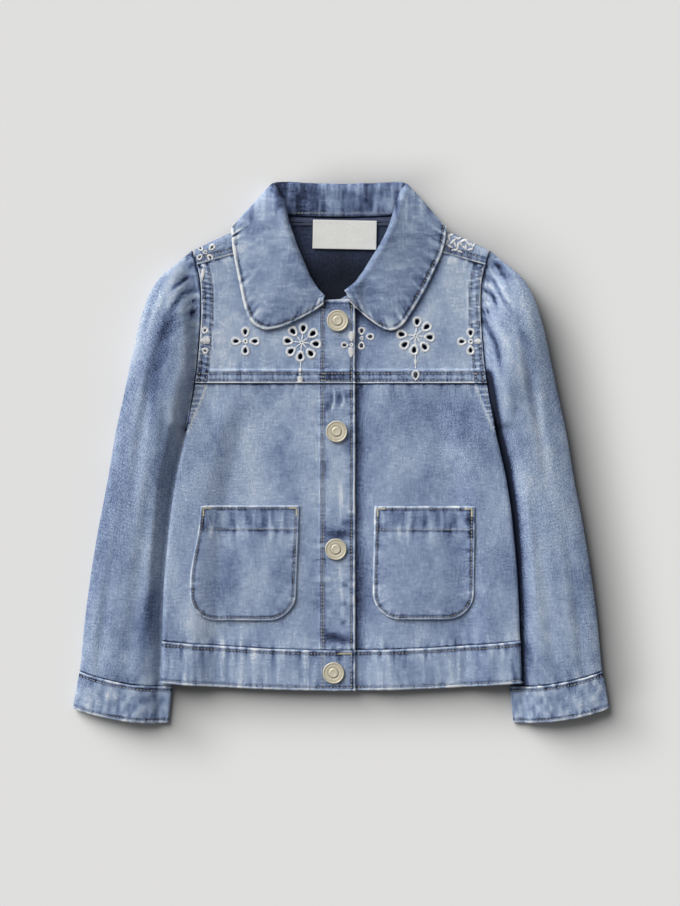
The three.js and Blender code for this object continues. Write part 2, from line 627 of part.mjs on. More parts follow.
function backPanel() {
  const middle = steps(0, 1, 3).slice(1);
  const columnsAt = (y) => {
    const half = halfWidth(y);
    const side = SIDE_COLUMNS.map((inset) => half - inset);
    const inwards = middle.map((share) => side.at(-1) * (1 - share));
    const right = [...side, ...inwards];
    return [...right.map((x) => -x), ...right.slice(0, -1).reverse()];
  };
  const topY = (x) => shoulderY(x) - SHOULDER_FOLD;
  const rows = [];
  const addRow = (nominal, place) => rows.push(columnsAt(nominal).map((x) => place(x)));
  const under = (x, y) => new THREE.Vector3(x, y, backZ(x, y));
  addRow(HEM_SEAM_SIDE_Y, (x) => under(x, hemSeamY(x) + SEAM_GAP / 2));
  for (const y of BACK_LEVEL_ROWS) addRow(y, (x) => under(x, y));
  for (const share of [0.3, 0.65, 1]) {
    const sideY = lerp(BACK_LEVEL_Y, BACK_SIDE_Y.underFold, share);
    addRow(sideY, (x) => under(x, lerp(BACK_LEVEL_Y, topY(x), share)));
  }
  for (const turn of steps(0, Math.PI, 6).slice(1)) {
    addRow(BACK_SIDE_Y.fold, (x) => {
      const low = backZ(x, topY(x));
      const high = frontZ(x, topY(x));
      const z = (low + high) / 2 - ((high - low) / 2) * Math.cos(turn);
      return new THREE.Vector3(x, topY(x) + SHOULDER_FOLD * Math.sin(turn), z);
    });
  }
  for (const share of [0.5, 1]) {
    addRow(lerp(BACK_SIDE_Y.overFold, BACK_SIDE_Y.end, share), (x) => {
      const y = lerp(topY(x), shoulderSeamY(x) + SEAM_GAP / 2, share);
      return new THREE.Vector3(x, y, frontZ(x, y));
    });
  }
  const sheet = toSolid(clothWall(rows, { wall: WALL, face: -1 }));
  const aboveNeck = [
    { x: NECK_HALF, y: CUT_BEYOND_Y },
    { x: -NECK_HALF, y: CUT_BEYOND_Y },
  ];
  const belowNeck = [
    { x: -NECK_HALF, y: CUT_BELOW_Y },
    { x: NECK_HALF, y: CUT_BELOW_Y },
  ];
  const frontSide = prism([...belowNeck, ...aboveNeck], FRONT_ABOVE_Z);
  const neckline = steps(-NECK_HALF, NECK_HALF, 8).map((x) => ({
    x,
    y: BACK_NECK_Y + BACK_NECK_RISE * (x / NECK_HALF) ** 2,
  }));
  const backSide = prism([...neckline, ...aboveNeck]);
  return piece('back_panel', toGeometry(sheet.subtract(frontSide).subtract(backSide)), DENIM);
}

// The hem band: a strip round the body, open at the front where its right end laps its left.
function hemBand() {
  const insets = SIDE_COLUMNS.slice(1);
  const row = (share) => {
    const nominal = lerp(HEM_EDGE.middle, HEM_SEAM.middle, share);
    const half = halfWidth(nominal);
    const yAt = (x) => lerp(hemEdgeY(x), hemSeamY(x) - SEAM_GAP / 2, share);
    const place = (x, z) => new THREE.Vector3(x, yAt(x), z);
    const front = (x) => frontZ(x, nominal) + HEM_RAISE * foldOver(half - Math.abs(x), SIDE_FOLD);
    const foldZ = sideLift(half, nominal) + bodyThickness(half, nominal) / 2;
    const rightSide = insets.map((inset) => inset - half);
    const leftSide = insets.map((inset) => half - inset);
    const right = [FREE_EDGE_X, 0, PLACKET_X, -45, -75, ...rightSide.toReversed()];
    const under = [...rightSide, -50, 0, 50, ...leftSide.toReversed()];
    const left = [...leftSide, 70, UNDERLAP_FADE.high, 27, UNDERLAP_FADE.low, -4, UNDERLAP_X];
    return [
      ...right.map((x) => place(x, front(x))),
      place(-half, foldZ),
      ...under.map((x) => place(x, backZ(x, nominal))),
      place(half, foldZ),
      ...left.map((x) => place(x, front(x) - HEM_UNDERLAP_DROP * underlap(x))),
    ];
  };
  return piece('hem_band', clothWall([0, 0.5, 1].map(row), { wall: BAND_WALL, face: -1 }), DENIM);
}

function edgeCurve(rows) {
  const points = rows.map(({ x, y }) => new THREE.Vector3(x, y, 0));
  return new THREE.CatmullRomCurve3(points, false, 'centripetal');
}

const sleeveOuter = edgeCurve(SLEEVE_OUTER_EDGE);
const sleeveInner = edgeCurve(SLEEVE_INNER_EDGE);
const sleeveCrown = tableCurve(SLEEVE_HEIGHT, 'along', 'crown');
const pleatDepth = tableCurve(PLEAT_DEPTH, 'along', 'depth');

// How high a sleeve may reach where the side of the body lies over it or close to it.
function tuckCeiling(x, y) {
  const outside = Math.max(x - halfWidth(y) - TUCK_MARGIN, 0);
  const free = smooth(UNTUCKED.from, UNTUCKED.to, y) * UNTUCKED.height;
  return TUCKED_HEIGHT + outside * TUCK_SLOPE + free;
}

const softMin = (a, b) => -Math.log(Math.exp(-a) + Math.exp(-b));

// Shares of a sleeve's width, from its inner edge to its outer edge, at the columns of its top
// and underside. Those near an edge are set in millimetres from it.
function sleeveShares(width) {
  const fromInner = (inset) => inset / width;
  const fromOuter = (inset) => 1 - inset / width;
  const pleats = steps(PLEAT_START, PLEAT_END, 2 * PLEAT_COUNT);
  const inner = [0, 0.7, TUCKED_FOLD].map(fromInner);
  const top = [...inner, 0.09, 0.17, 0.25, 0.33, 0.41, 0.49, ...pleats, ...[4, 1.2, 0].map(fromOuter)];
  const outer = [1.5, OUTER_FOLD].map(fromOuter);
  const under = [...outer, 0.82, 0.64, 0.46, 0.28, 0.12, ...[TUCKED_FOLD, 0.7].map(fromInner)];
  return { top, under };
}

const armholeX = (y) => halfWidth(y) + SLEEVE_SEAM_OFFSET;

function sleevePlan(along, share) {
  const inner = sleeveInner.getPointAt(along ** INNER_EDGE_LAG);
  const outer = sleeveOuter.getPointAt(along);
  const point = inner.clone().lerp(outer, share);
  const seamShare = 1 - smooth(0, 0.3, along);
  const seamX = armholeX(lerp(SLEEVE_INNER_EDGE[0].y, SLEEVE_OUTER_EDGE[0].y, share));
  const straightX = lerp(SLEEVE_INNER_EDGE[0].x, SLEEVE_OUTER_EDGE[0].x, share);
  point.x += Math.min(seamX - straightX, 0) * seamShare;
  point.y -= CUFF.bow * 4 * share * (1 - share) * smooth(0.7, 1, along);
  return point;
}

// The height of a sleeve's outer fold, where its top meets its underside.
function sleeveOuterZ(along) {
  return lerp(ARMHOLE_HEIGHT.low, sleeveCrown(along) * OUTER_END_SHARE, smooth(0, PUFFED_BY, along));
}

function sleeveTopZ(along, share, { x, y }) {
  const crown = sleeveCrown(along);
  const outerEnd = sleeveOuterZ(along);
  const innerHump = smooth(-0.04, 0.42, share);
  const outerHump = Math.sqrt(1 - Math.max((share - 0.5) / 0.5, 0) ** 2.4);
  const puffed = share < 0.5 ? lerp(TUCKED_HEIGHT, crown, innerHump) : lerp(outerEnd, crown, outerHump);
  const armhole = Math.min(frontZ(halfWidth(y), y), ARMHOLE_HEIGHT.most) * Math.min(1, 0.5 + outerHump);
  let z = lerp(lerp(ARMHOLE_HEIGHT.low, armhole, outerHump), puffed, smooth(0, PUFFED_BY, along));
  const phase = (share - PLEAT_START) / (PLEAT_END - PLEAT_START);
  const pleat = 0.5 - 0.5 * Math.cos(2 * Math.PI * PLEAT_COUNT * phase);
  if (phase > 0 && phase < 1) z -= pleatDepth(along) * pleat;
  for (const { across, width, from, to, depth } of SLEEVE_TROUGHS) {
    const over = 1 - smooth(0, width, Math.abs(share - across));
    const travelled = THREE.MathUtils.clamp((along - from) / (to - from), 0, 1);
    z -= depth * over * Math.sin(Math.PI * travelled);
  }
  return softMin(z, tuckCeiling(x, y));
}

function sleeveRing(along) {
  const width = sleeveInner.getPointAt(along ** INNER_EDGE_LAG).distanceTo(sleeveOuter.getPointAt(along));
  const { top, under } = sleeveShares(width);
  const outerEnd = sleeveOuterZ(along);
  const topPoints = top.map((share) => {
    const point = sleevePlan(along, share);
    const z = sleeveTopZ(along, share, point);
    point.z = lerp(TUCKED_FOLD, z, foldOver(share * width, TUCKED_FOLD));
    return point;
  });
  const underPoints = under.map((share) => {
    const point = sleevePlan(along, share);
    const floor = sideLift(halfWidth(point.y), point.y) * (1 - smooth(0, 0.06, along)) * 0.6;
    const inner = 1 - foldOver(share * width, TUCKED_FOLD);
    const outer = 1 - foldOver((1 - share) * width, OUTER_FOLD);
    point.z = floor * (1 - inner) + TUCKED_FOLD * inner + outerEnd * outer;
    return point;
  });
  return [...topPoints, ...underPoints];
}

const mirrored = (points) => points.map((row) => row.map(({ x, y, z }) => new THREE.Vector3(-x, y, z)));

// A tube of cloth through rings drawn on the viewer's right; each ring starts at its inner edge.
function clothTube(name, sign, rings, outerColumn, wall) {
  const points = sign > 0 ? rings : mirrored(rings);
  const axes = points.map((ring) => {
    const chord = ring[outerColumn].clone().sub(ring[0]);
    return new THREE.Vector3(chord.y, -chord.x, 0).multiplyScalar(sign);
  });
  return piece(name, clothWall(points, { wall, face: -sign, ring: true, axes }), DENIM);
}

function sleeve(name, sign) {
  const outerColumn = sleeveShares(1).top.length - 1;
  return clothTube(name, sign, SLEEVE_STATIONS.map(sleeveRing), outerColumn, WALL);
}

// The rings of a cuff start and end where the sleeve's edges do. Columns near an edge are set
// in millimetres from it.
function cuffShares(width) {
  const fromInner = (inset) => inset / width;
  const fromOuter = (inset) => 1 - inset / width;
  const inner = [0, 0.7, CUFF_INNER_FOLD].map(fromInner);
  const top = [...inner, 0.1, 0.2, 0.32, 0.45, 0.6, 0.75, 0.87, 0.94, ...[1.4, 0].map(fromOuter)];
  const outer = [1.4, CUFF_OUTER_FOLD].map(fromOuter);
  const under = [...outer, 0.75, 0.5, 0.25, ...[CUFF_INNER_FOLD, 0.7].map(fromInner)];
  return { top, under };
}

function cuffRing(share) {
  const start = { inner: SLEEVE_INNER_EDGE.at(-1), outer: SLEEVE_OUTER_EDGE.at(-1) };
  const innerX = lerp(start.inner.x, CUFF.innerX, share) - CUFF_GROW;
  const inner = new THREE.Vector3(innerX, lerp(start.inner.y, CUFF.innerY, share), 0);
  const outerX = lerp(start.outer.x, CUFF.outerX, share);
  const outer = new THREE.Vector3(outerX, lerp(start.outer.y, CUFF.outerY, share), 0);
  const width = inner.distanceTo(outer);
  const { top, under } = cuffShares(width);
  const crown = lerp(CUFF.crown, CUFF.endCrown, share);
  const outerEnd = crown * CUFF_OUTER_SHARE;
  const place = (across) => {
    const point = inner.clone().lerp(outer, across);
    point.y -= CUFF.bow * 4 * across * (1 - across) + SEAM_GAP * (1 - share);
    return point;
  };
  const humpAt = (across) => {
    if (across < 0.5) return lerp(TUCKED_HEIGHT + CUFF_RAISE, crown, smooth(-0.02, 0.4, across));
    return lerp(outerEnd, crown, Math.sqrt(1 - ((across - 0.5) / 0.5) ** 3));
  };
  const topPoints = top.map((across) => {
    const point = place(across);
    const ceiling = tuckCeiling(point.x, Math.max(point.y, CUFF_LOWEST_TUCK_Y));
    const risen = foldOver(across * width, CUFF_INNER_FOLD);
    point.z = lerp(CUFF_INNER_END, softMin(humpAt(across), ceiling), risen);
    return point;
  });
  const underPoints = under.map((across) => {
    const point = place(across);
    const innerTurn = 1 - foldOver(across * width, CUFF_INNER_FOLD);
    const outerTurn = 1 - foldOver((1 - across) * width, CUFF_OUTER_FOLD);
    point.z = CUFF_INNER_END * innerTurn + outerEnd * outerTurn;
    return point;
  });
  return [...topPoints, ...underPoints];
}

function cuff(name, sign) {
  const outerColumn = cuffShares(1).top.length - 1;
  return clothTube(name, sign, steps(0, 1, 2).map(cuffRing), outerColumn, CUFF_WALL);
}

// One section of the collar: the stand from the neck seam to the roll, then the fall to the edge.
const STAND_SHARES = [0, 0.3, 0.6, 0.85];
const FALL_SHARES = [0.05, 0.14, 0.3, 0.5, 0.7, 0.87, 1];

function collarSection(row, yokeZ) {
  const { sewnX, sewnY, rollX, rollY, endX, endY, rise, wrap } = row;
  const base = yokeZ(sewnX, Math.min(sewnY, COLLAR_TOP_SEWN_Y));
  const behind = smooth(0, 0.5, wrap);
  const backSewnZ = COLLAR_LIFT + WALL / 2;
  const sewnZ = lerp(base - WALL, backSewnZ, smooth(0, 0.3, wrap));
  const rollTop = lerp(base + rise + COLLAR_STAND_OVER, COLLAR_STAND_BACK, behind);
  const rollZ = lerp(base + rise * COLLAR_ROLL_SHARE, COLLAR_FOLD_Z, behind);
  const stand = STAND_SHARES.map((share) => {
    const behindZ = lerp(sewnZ, rollTop, Math.min(share * 1.25, 1));
    const z = lerp(lerp(sewnZ, rollZ, share), behindZ, behind);
    return new THREE.Vector3(lerp(sewnX, rollX, share), lerp(sewnY, rollY, share), z);
  });
  const roll = new THREE.Vector3(rollX, rollY, rollZ);
  const fall = FALL_SHARES.map((share) => {
    const x = lerp(rollX, endX, share);
    const y = lerp(rollY, endY, share);
    const crown = COLLAR_CROWN * Math.sin(Math.PI * share);
    const settle = (1 - share) ** 2;
    const under = yokeZ(x, Math.min(y, shoulderY(x) - SHOULDER_FOLD));
    const onFront = under + COLLAR_REST + crown + (rise + COLLAR_STAND_OVER - COLLAR_REST) * settle;
    const turn = 0.5 + 0.5 * Math.cos(Math.PI * wrap);
    return new THREE.Vector3(x, y, lerp(COLLAR_UNDER_Z, onFront, turn));
  });
  return [...stand, roll, ...fall];
}

// A wall of cloth about a grid of its middle points.
function thickened(points, wall) {
  const rows = points.length;
  const columns = points[0].length;
  const pick = (r, c) => points[THREE.MathUtils.clamp(r, 0, rows - 1)][THREE.MathUtils.clamp(c, 0, columns - 1)];
  const outer = points.map((row, r) =>
    row.map((point, c) => {
      const across = pick(r, c + 1).clone().sub(pick(r, c - 1));
      const along = pick(r + 1, c).clone().sub(pick(r - 1, c));
      return point.clone().addScaledVector(across.cross(along).normalize(), -wall / 2);
    }),
  );
  return clothWall(outer, { wall, face: -1 });
}

function collar() {
  const right = COLLAR_RIGHT.map((row) => collarSection(row, yokeRightZ));
  const left = COLLAR_LEFT.map((row) => collarSection(row, underLeftLobeZ));
  return piece('collar', thickened([...right, ...left.toReversed()], COLLAR_WALL), DENIM);
}

// A patch pocket on the surface of a front.
function pocket({ name, left, leftTop, right, rightLow, top, bottom }) {
  const zAt = name === 'pocket_right' ? rightFrontZ : leftFrontZ;
  const heights = [0, 1.6, 6, 13, POCKET_CORNER, 36, 52, 68, 80, top - bottom];
  const rows = heights.map((up) => {
    const y = bottom + up;
    const share = up / (top - bottom);
    const round = POCKET_CORNER * (1 - foldOver(up, POCKET_CORNER));
    const leftX = lerp(left, leftTop, smooth(0.3, 1, share)) + round;
    const rightX = lerp(rightLow, right, share) - round;
    return [0, 0.07, 0.25, 0.5, 0.75, 0.93, 1].map((across) => {
      const x = lerp(leftX, rightX, across);
      const bulge = POCKET_BULGE * Math.sin(Math.PI * across) * Math.sin(Math.PI * (0.08 + 0.84 * share));
      return new THREE.Vector3(x, y, zAt(x, y) + POCKET_GAP + WALL + bulge);
    });
  });
  return piece(name, clothWall(rows, { wall: WALL, face: 1 }), DENIM);
}

// A shank button with a raised rim and a stepped middle.
function button({ name, x, y }) {
  const onBand = y < HEM_SEAM.middle;
  const seat = frontZ(x, y) + (onBand ? HEM_RAISE : PLACKET_RAISE) + SEAM_GAP;
  const profile = [
    { out: 0, up: 0 },
    { out: 0.82, up: 0 },
    { out: 1, up: 0.35 },
    { out: 0.99, up: 0.72 },
    { out: 0.9, up: 0.92 },
    { out: 0.8, up: 0.8 },
    { out: 0.5, up: 0.8 },
    { out: 0.42, up: 1 },
    { out: 0, up: 1.04 },
  ].map(({ out, up }) => new THREE.Vector2(out * BUTTON_RADIUS, up * BUTTON_HEIGHT));
  const geometry = new THREE.LatheGeometry(profile, 16);
  geometry.rotateX(Math.PI / 2).translate(x, y, seat);
  geometry.deleteAttribute('normal');
  geometry.deleteAttribute('uv');
  return piece(name, toGeometry(toSolid(geometry)), METAL);
}

// A flat strip that lies over the inside of the back.
function strip(name, { left, right, low, high, thickness, tilt = 0 }, seat, material) {
  const geometry = new THREE.BoxGeometry(right - left, high - low, thickness);
  geometry.rotateZ(THREE.MathUtils.degToRad(-tilt));
  geometry.translate((left + right) / 2, (low + high) / 2, seat + thickness / 2);
  return piece(name, geometry, material);
}

const tapeSeat = COLLAR_LIFT + WALL + SEAM_GAP;

const jacket = new THREE.Group();
jacket.name = 'denim_jacket';
jacket.add(
  frontPanel('front_right', -1, RIGHT_COLUMNS, rightFrontZ, rightWall),
  frontPanel('front_left', 1, LEFT_COLUMNS, leftFrontZ, leftWall),
  yokePanel('yoke_right', -1, RIGHT_COLUMNS, yokeRightZ, rightWall, rightNeckCut()),
  yokePanel('yoke_left', 1, LEFT_COLUMNS, yokeLeftZ, leftWall, leftNeckCut()),
  backPanel(),
  hemBand(),
  sleeve('sleeve_right', -1),
  sleeve('sleeve_left', 1),
  cuff('cuff_right', -1),
  cuff('cuff_left', 1),
  collar(),
  strip('neck_tape', NECK_TAPE, tapeSeat, TAPE),
  strip('neck_label', LABEL, tapeSeat + NECK_TAPE.thickness + SEAM_GAP, LABEL_CLOTH),
  ...POCKETS.map(pocket),
  ...BUTTONS.map(button),
);

export default jacket;
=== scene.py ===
# A toddler's light denim jacket with puff sleeves, laid flat on its back on a pale floor.
# Sizes are in millimetres, and each mesh is made in metres. X runs to the viewer's right, Y
# towards the collar and Z up. The wearer's right side is on the viewer's left, at negative X.
import math

import bpy
import numpy as np
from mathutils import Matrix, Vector
from mathutils.bvhtree import BVHTree
from mathutils.geometry import delaunay_2d_cdt


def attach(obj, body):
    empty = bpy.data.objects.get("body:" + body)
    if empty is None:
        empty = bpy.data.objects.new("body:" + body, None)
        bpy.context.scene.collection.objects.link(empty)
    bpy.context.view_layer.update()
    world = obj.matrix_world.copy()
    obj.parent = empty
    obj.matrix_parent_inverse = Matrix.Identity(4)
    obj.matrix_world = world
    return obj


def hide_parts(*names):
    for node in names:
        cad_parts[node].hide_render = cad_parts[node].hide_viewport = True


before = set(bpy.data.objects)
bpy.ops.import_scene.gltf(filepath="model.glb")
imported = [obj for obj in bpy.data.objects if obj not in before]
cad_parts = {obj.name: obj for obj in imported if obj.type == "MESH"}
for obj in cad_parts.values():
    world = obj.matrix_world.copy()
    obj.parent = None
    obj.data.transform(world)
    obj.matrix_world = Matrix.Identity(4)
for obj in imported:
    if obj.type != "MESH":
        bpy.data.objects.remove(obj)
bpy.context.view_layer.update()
MM = 0.001


def table(columns, *rows):
    """A short table, as one array for each named column."""
    return dict(zip(columns.split(), np.array(rows, float).T))


# Cloth
WALL = 1.4
BAND_WALL = 2.2
CUFF_WALL = 1.8
COLLAR_WALL = 2
SEAM_GAP = 0.3
SIDE_SEAM_GAP = 0.6
CLOTH_STEP = 1.5
LEAST_INNER_Z = 0.1
BACK_STEP = 2.2
FINE_STEP = 0.4
# How much less than its full thickness a wall has where its relief stands proud of it
RELIEF_ROOM = 0.3
# How deep the relief is on the underside of a piece, as a share of its depth on top
UNDER_RELIEF = 0.3
SIGN = {"right": -1, "left": 1}

# How thick the laid body is, from the surface of the back to the surface of the front
MIDDLE_THICKNESS = table(
    "y thickness",
    (-192, 7.1), (-155, 7.1), (-125, 6.6), (20, 6.5), (60, 6.8), (120, 7.2), (150, 7.8), (190, 8.8),
)
SIDE_THICKNESS = 5.8
SIDE_THICKNESS_AT_SHOULDER = 7
MIDDLE_FLAT = 30
SIDE_FLAT = 110

# Outline of the body: half its width at each height
BODY_SIDE = table(
    "y half",
    (-191, 144.5), (-152, 143), (-130, 142.6), (-86, 140), (-25, 132.8), (17.6, 123.2),
    (55, 116.6), (78, 114), (108, 111.8), (127, 111.8), (140, 113), (162, 118.6),
)
NOMINAL_HALF = 143
HEM_HALF = 144
YOKE_HALF = 118
YOKE_Y = 55
YOKE_BAND = 10.4
YOKE_BAND_RAISE = 0.9
SHOULDER_TOP = 216.8
SHOULDER_SLOPE = 0.464
SHOULDER_UNDER_COLLAR = 3
SHOULDER_SEAM_Y = 158
SHOULDER_SEAM_SLOPE = 0.28
SHOULDER_SEAM_X = 86
SHOULDER_FOLD = 5
# Where, going outwards, the shoulder comes out from under the collar
COLLAR_REACH = (80, 92)

# The sides lie on the inner edges of the sleeves
SIDE_LIFT = 5
SIDE_FOLD = 4
LIFT_FLAT = 24
LIFT_END = 46
LIFT_FULL_Y = 14
LIFT_NONE_Y = 55
SIDE_CLOSED_Y = 13
SIDE_OPEN_Y = 24

# The back lies on the fall of the collar, from UNDER_COLLAR_Y up
COLLAR_LIFT = 2.7
COLLAR_LIFT_END = (91, 104)
UNDER_COLLAR_Y = 134
SHOULDER_EDGE_Y = 157

# Front opening
FREE_EDGE_X = 11.2
UNDERLAP_X = -16
PLACKET_X = -17
PLACKET_ROW_X = -14.7
FREE_EDGE_ROW_X = 8.4
PLACKET_RAISE = 0.6
PLACKET_WALL = 2.4
UNDERLAP_DROP = 2.3
UNDERLAP_WALL = 1.6
UNDERLAP_LOW_X = 12
UNDERLAP_HIGH_X = 42

# Hem band
HEM_SEAM_Y = -158.8
HEM_SEAM_RISE = 7.6
HEM_EDGE_Y = -190.8
HEM_EDGE_RISE = 6.4
HEM_RAISE = 0.8
HEM_UNDERLAP_DROP = 2.5

# Neck
NECK_HALF = 47.5
BACK_NECK_Y = 187.3
BACK_NECK_RISE = 1.6
PLACKET_TOP_Y = 122.4
PLACKET_CORNER = 5
FRONT_NECK = {
    "right": (
        (-13, 121.6), (-19, 124.6), (-26.5, 132.2), (-33, 145), (-39.5, 160.5), (-46.2, 182.5),
        (-47.5, 194),
    ),
    "left": ((3.5, 124.8), (15.4, 132.3), (23.3, 142), (31.2, 155.4), (37.8, 167), (43, 179), (47.5, 194)),
}

# Collar: for each section, x and y where it is sewn on, where it rolls over and where it ends, then
# how high it rolls over the yoke and how far round it lies: 0 on the front of the shoulder, 0.5 on
# the fold of the collar and 1 under the back
COLLAR_RIGHT = (
    (-14.5, 123.6, -13.4, 124.2, -14.5, 118.3, 1.8, 0),
    (-18.4, 126.2, -16.2, 127.4, -21.6, 113.2, 2.4, 0),
    (-22.6, 130, -19.6, 131.4, -31.5, 107.6, 3.4, 0),
    (-26.6, 135.8, -23.4, 137, -42, 102.6, 4.2, 0),
    (-29.8, 142.2, -26.6, 143, -52.5, 99, 4.8, 0),
    (-32.8, 149, -29.6, 150, -62.5, 98.4, 5.4, 0),
    (-35.6, 156, -32.6, 157, -71, 103.6, 6, 0),
    (-38.4, 163.2, -35.6, 164, -76.4, 115, 6.4, 0),
    (-41, 171, -38.4, 172, -81, 135, 6.8, 0),
    (-43.4, 178.6, -41.4, 181.4, -85.2, 155, 7, 0),
    (-44.8, 184.4, -44.2, 192, -87, 170, 6.6, 0),
    (-45.4, 188.6, -47.4, 203.6, -87.2, 174.6, 5.2, 0.08),
    (-45.6, 190.2, -52.4, 212.4, -87.4, 177.8, 3, 0.26),
    (-45.2, 190.8, -54, 215.6, -87, 179.4, 1.5, 0.5),
    (-43.6, 190.9, -51.6, 216, -84.8, 177, 1, 0.74),
    (-40.6, 190.4, -45.6, 216, -80.4, 170.6, 1, 0.93),
    (-34, 189.6, -36, 215.4, -66, 164.6, 1, 1),
    (-22, 189.1, -23, 214.8, -42, 161.8, 1, 1),
    (-10, 188.8, -10, 214.4, -18, 161, 1, 1),
)
COLLAR_LEFT = (
    (4.6, 127.4, 3.4, 128.2, 7.6, 120.8, 1.8, 0),
    (9.6, 130.3, 7.4, 131.6, 16, 112.6, 2.4, 0),
    (14.4, 133.6, 12, 135.2, 25.4, 104.3, 3.4, 0),
    (18.6, 138.8, 15.8, 140.4, 34, 98.8, 4.2, 0),
    (22, 143.8, 19.2, 145, 41, 97.2, 4.8, 0),
    (25.6, 149.6, 22.6, 150.8, 48.4, 100.8, 5.4, 0),
    (29.4, 156, 26.4, 157, 57, 112.8, 6, 0),
    (33, 162.2, 30.4, 163.4, 66.8, 130, 6.4, 0),
    (36.8, 169, 34.4, 170.2, 75.4, 147, 6.8, 0),
    (40.4, 176.6, 38.8, 180.2, 81, 160, 7, 0),
    (43, 182.8, 42.8, 191.8, 83.4, 171, 6.6, 0),
    (44.4, 188.4, 46, 203.2, 83.6, 175, 5.2, 0.08),
    (45.4, 190.2, 50.6, 212, 83.8, 177.6, 3, 0.26),
    (45, 190.8, 52.2, 215.2, 83.6, 179, 1.5, 0.5),
    (43.4, 190.9, 50, 215.7, 81.6, 176.8, 1, 0.74),
    (40.6, 190.4, 45, 215.8, 77.6, 170.6, 1, 0.93),
    (34, 189.6, 36, 215.4, 64, 164.6, 1, 1),
    (22, 189.1, 23, 214.8, 42, 161.8, 1, 1),
    (10, 188.8, 10, 214.4, 18, 161, 1, 1),
)
COLLAR_REST = 1.5
COLLAR_CROWN = 1
COLLAR_UNDER_Z = 1
COLLAR_STAND_BACK = 4.4
COLLAR_EDGE_LENGTH = 470
COLLAR_ACROSS = 95
COLLAR = {"right": COLLAR_RIGHT, "left": COLLAR_LEFT}

# Sleeve, drawn on the viewer's right and mirrored
SLEEVE_OUTER_EDGE = table(
    "x y",
    (119.6, 161.4), (133, 150), (146, 138), (154.5, 123), (161, 103), (168, 72), (174, 44), (180, 17),
    (187, -24), (194, -60), (200, -96), (205, -133), (208.5, -168), (209.5, -175.4),
)
SLEEVE_INNER_EDGE = table(
    "x y",
    (124.3, 17), (121.4, 5), (119, -10), (118, -40), (120, -80), (124, -120), (129, -155), (135.9, -187.9),
)
INNER_EDGE_LAG = 1.9
SLEEVE_HEIGHT = table(
    "along crown",
    (0, 8), (0.05, 16), (0.1, 20.5), (0.17, 22), (0.3, 19.5), (0.5, 17), (0.75, 15), (0.92, 12.6), (1, 11),
)
SLEEVE_SEAM_OFFSET = 1
TUCKED_HEIGHT = 4.4
TUCKED_FOLD = 2.2
TUCK_SLOPE = 1.1
TUCK_MARGIN = 2
TUCK_END_Y = (18, 40)
CLEAR_HEIGHT = 40
OUTER_FOLD = 6
# How high the outer edge of a sleeve or a cuff lies, as a share of its crown, how fully it is
# rounded, and how far down a sleeve's head its own roundness takes over from the armhole's
SLEEVE_EDGE_SHARE = 0.4
CUFF_EDGE_SHARE = 0.45
SLEEVE_ROUNDNESS = 2.4
CUFF_ROUNDNESS = 3
HEAD_END = 0.07
HIGHEST_ARMHOLE = 11
SEAM_HEIGHT = 4.2
PLEAT_COUNT = 6
PLEAT_START = 0.56
PLEAT_END = 0.94
PLEAT_DEPTH = table("along depth", (0, 0.6), (0.022, 1), (0.06, 0.7), (0.13, 0.3), (0.24, 0))
SLEEVE_TROUGHS = (
    {"across": 0.69, "width": 0.1, "start": 0.04, "end": 0.62, "depth": 1.8},
    {"across": 0.4, "width": 0.12, "start": 0.16, "end": 0.55, "depth": 1.4},
    {"across": 0.5, "width": 0.13, "start": 0.5, "end": 1.05, "depth": 1.4},
    {"across": 0.8, "width": 0.09, "start": 0.6, "end": 1.1, "depth": 1.2},
)
CUFF_INNER = (138.8, -216.84)
CUFF_OUTER = (215, -205.2)
CUFF_CROWN = 11.4
CUFF_END_CROWN = 10.6
CUFF_BOW = 3.4
CUFF_GROW = 0.5
CUFF_FOLD = 2.4
CUFF_OUTER_FOLD = 5
CUFF_LOW_Z = 2.3
CUFF_DEPTH = 30
SLEEVE_HEAD_ROUND = 340
WRIST_ROUND = 200

# Pockets
POCKETS = (
    {
        "side": "right", "left": -120.4, "leftTop": -112, "right": -33.4, "rightLow": -36.8,
        "top": -43, "bottom": -134.6,
    },
    {
        "side": "left", "left": 25.8, "leftTop": 27.1, "right": 106.7, "rightLow": 106,
        "top": -43.6, "bottom": -133.8,
    },
)
POCKET_CORNER = 21
POCKET_GAP = 0.6
POCKET_BULGE = 1.4
POCKET_ACROSS = 84
POCKET_HEM = 18.6

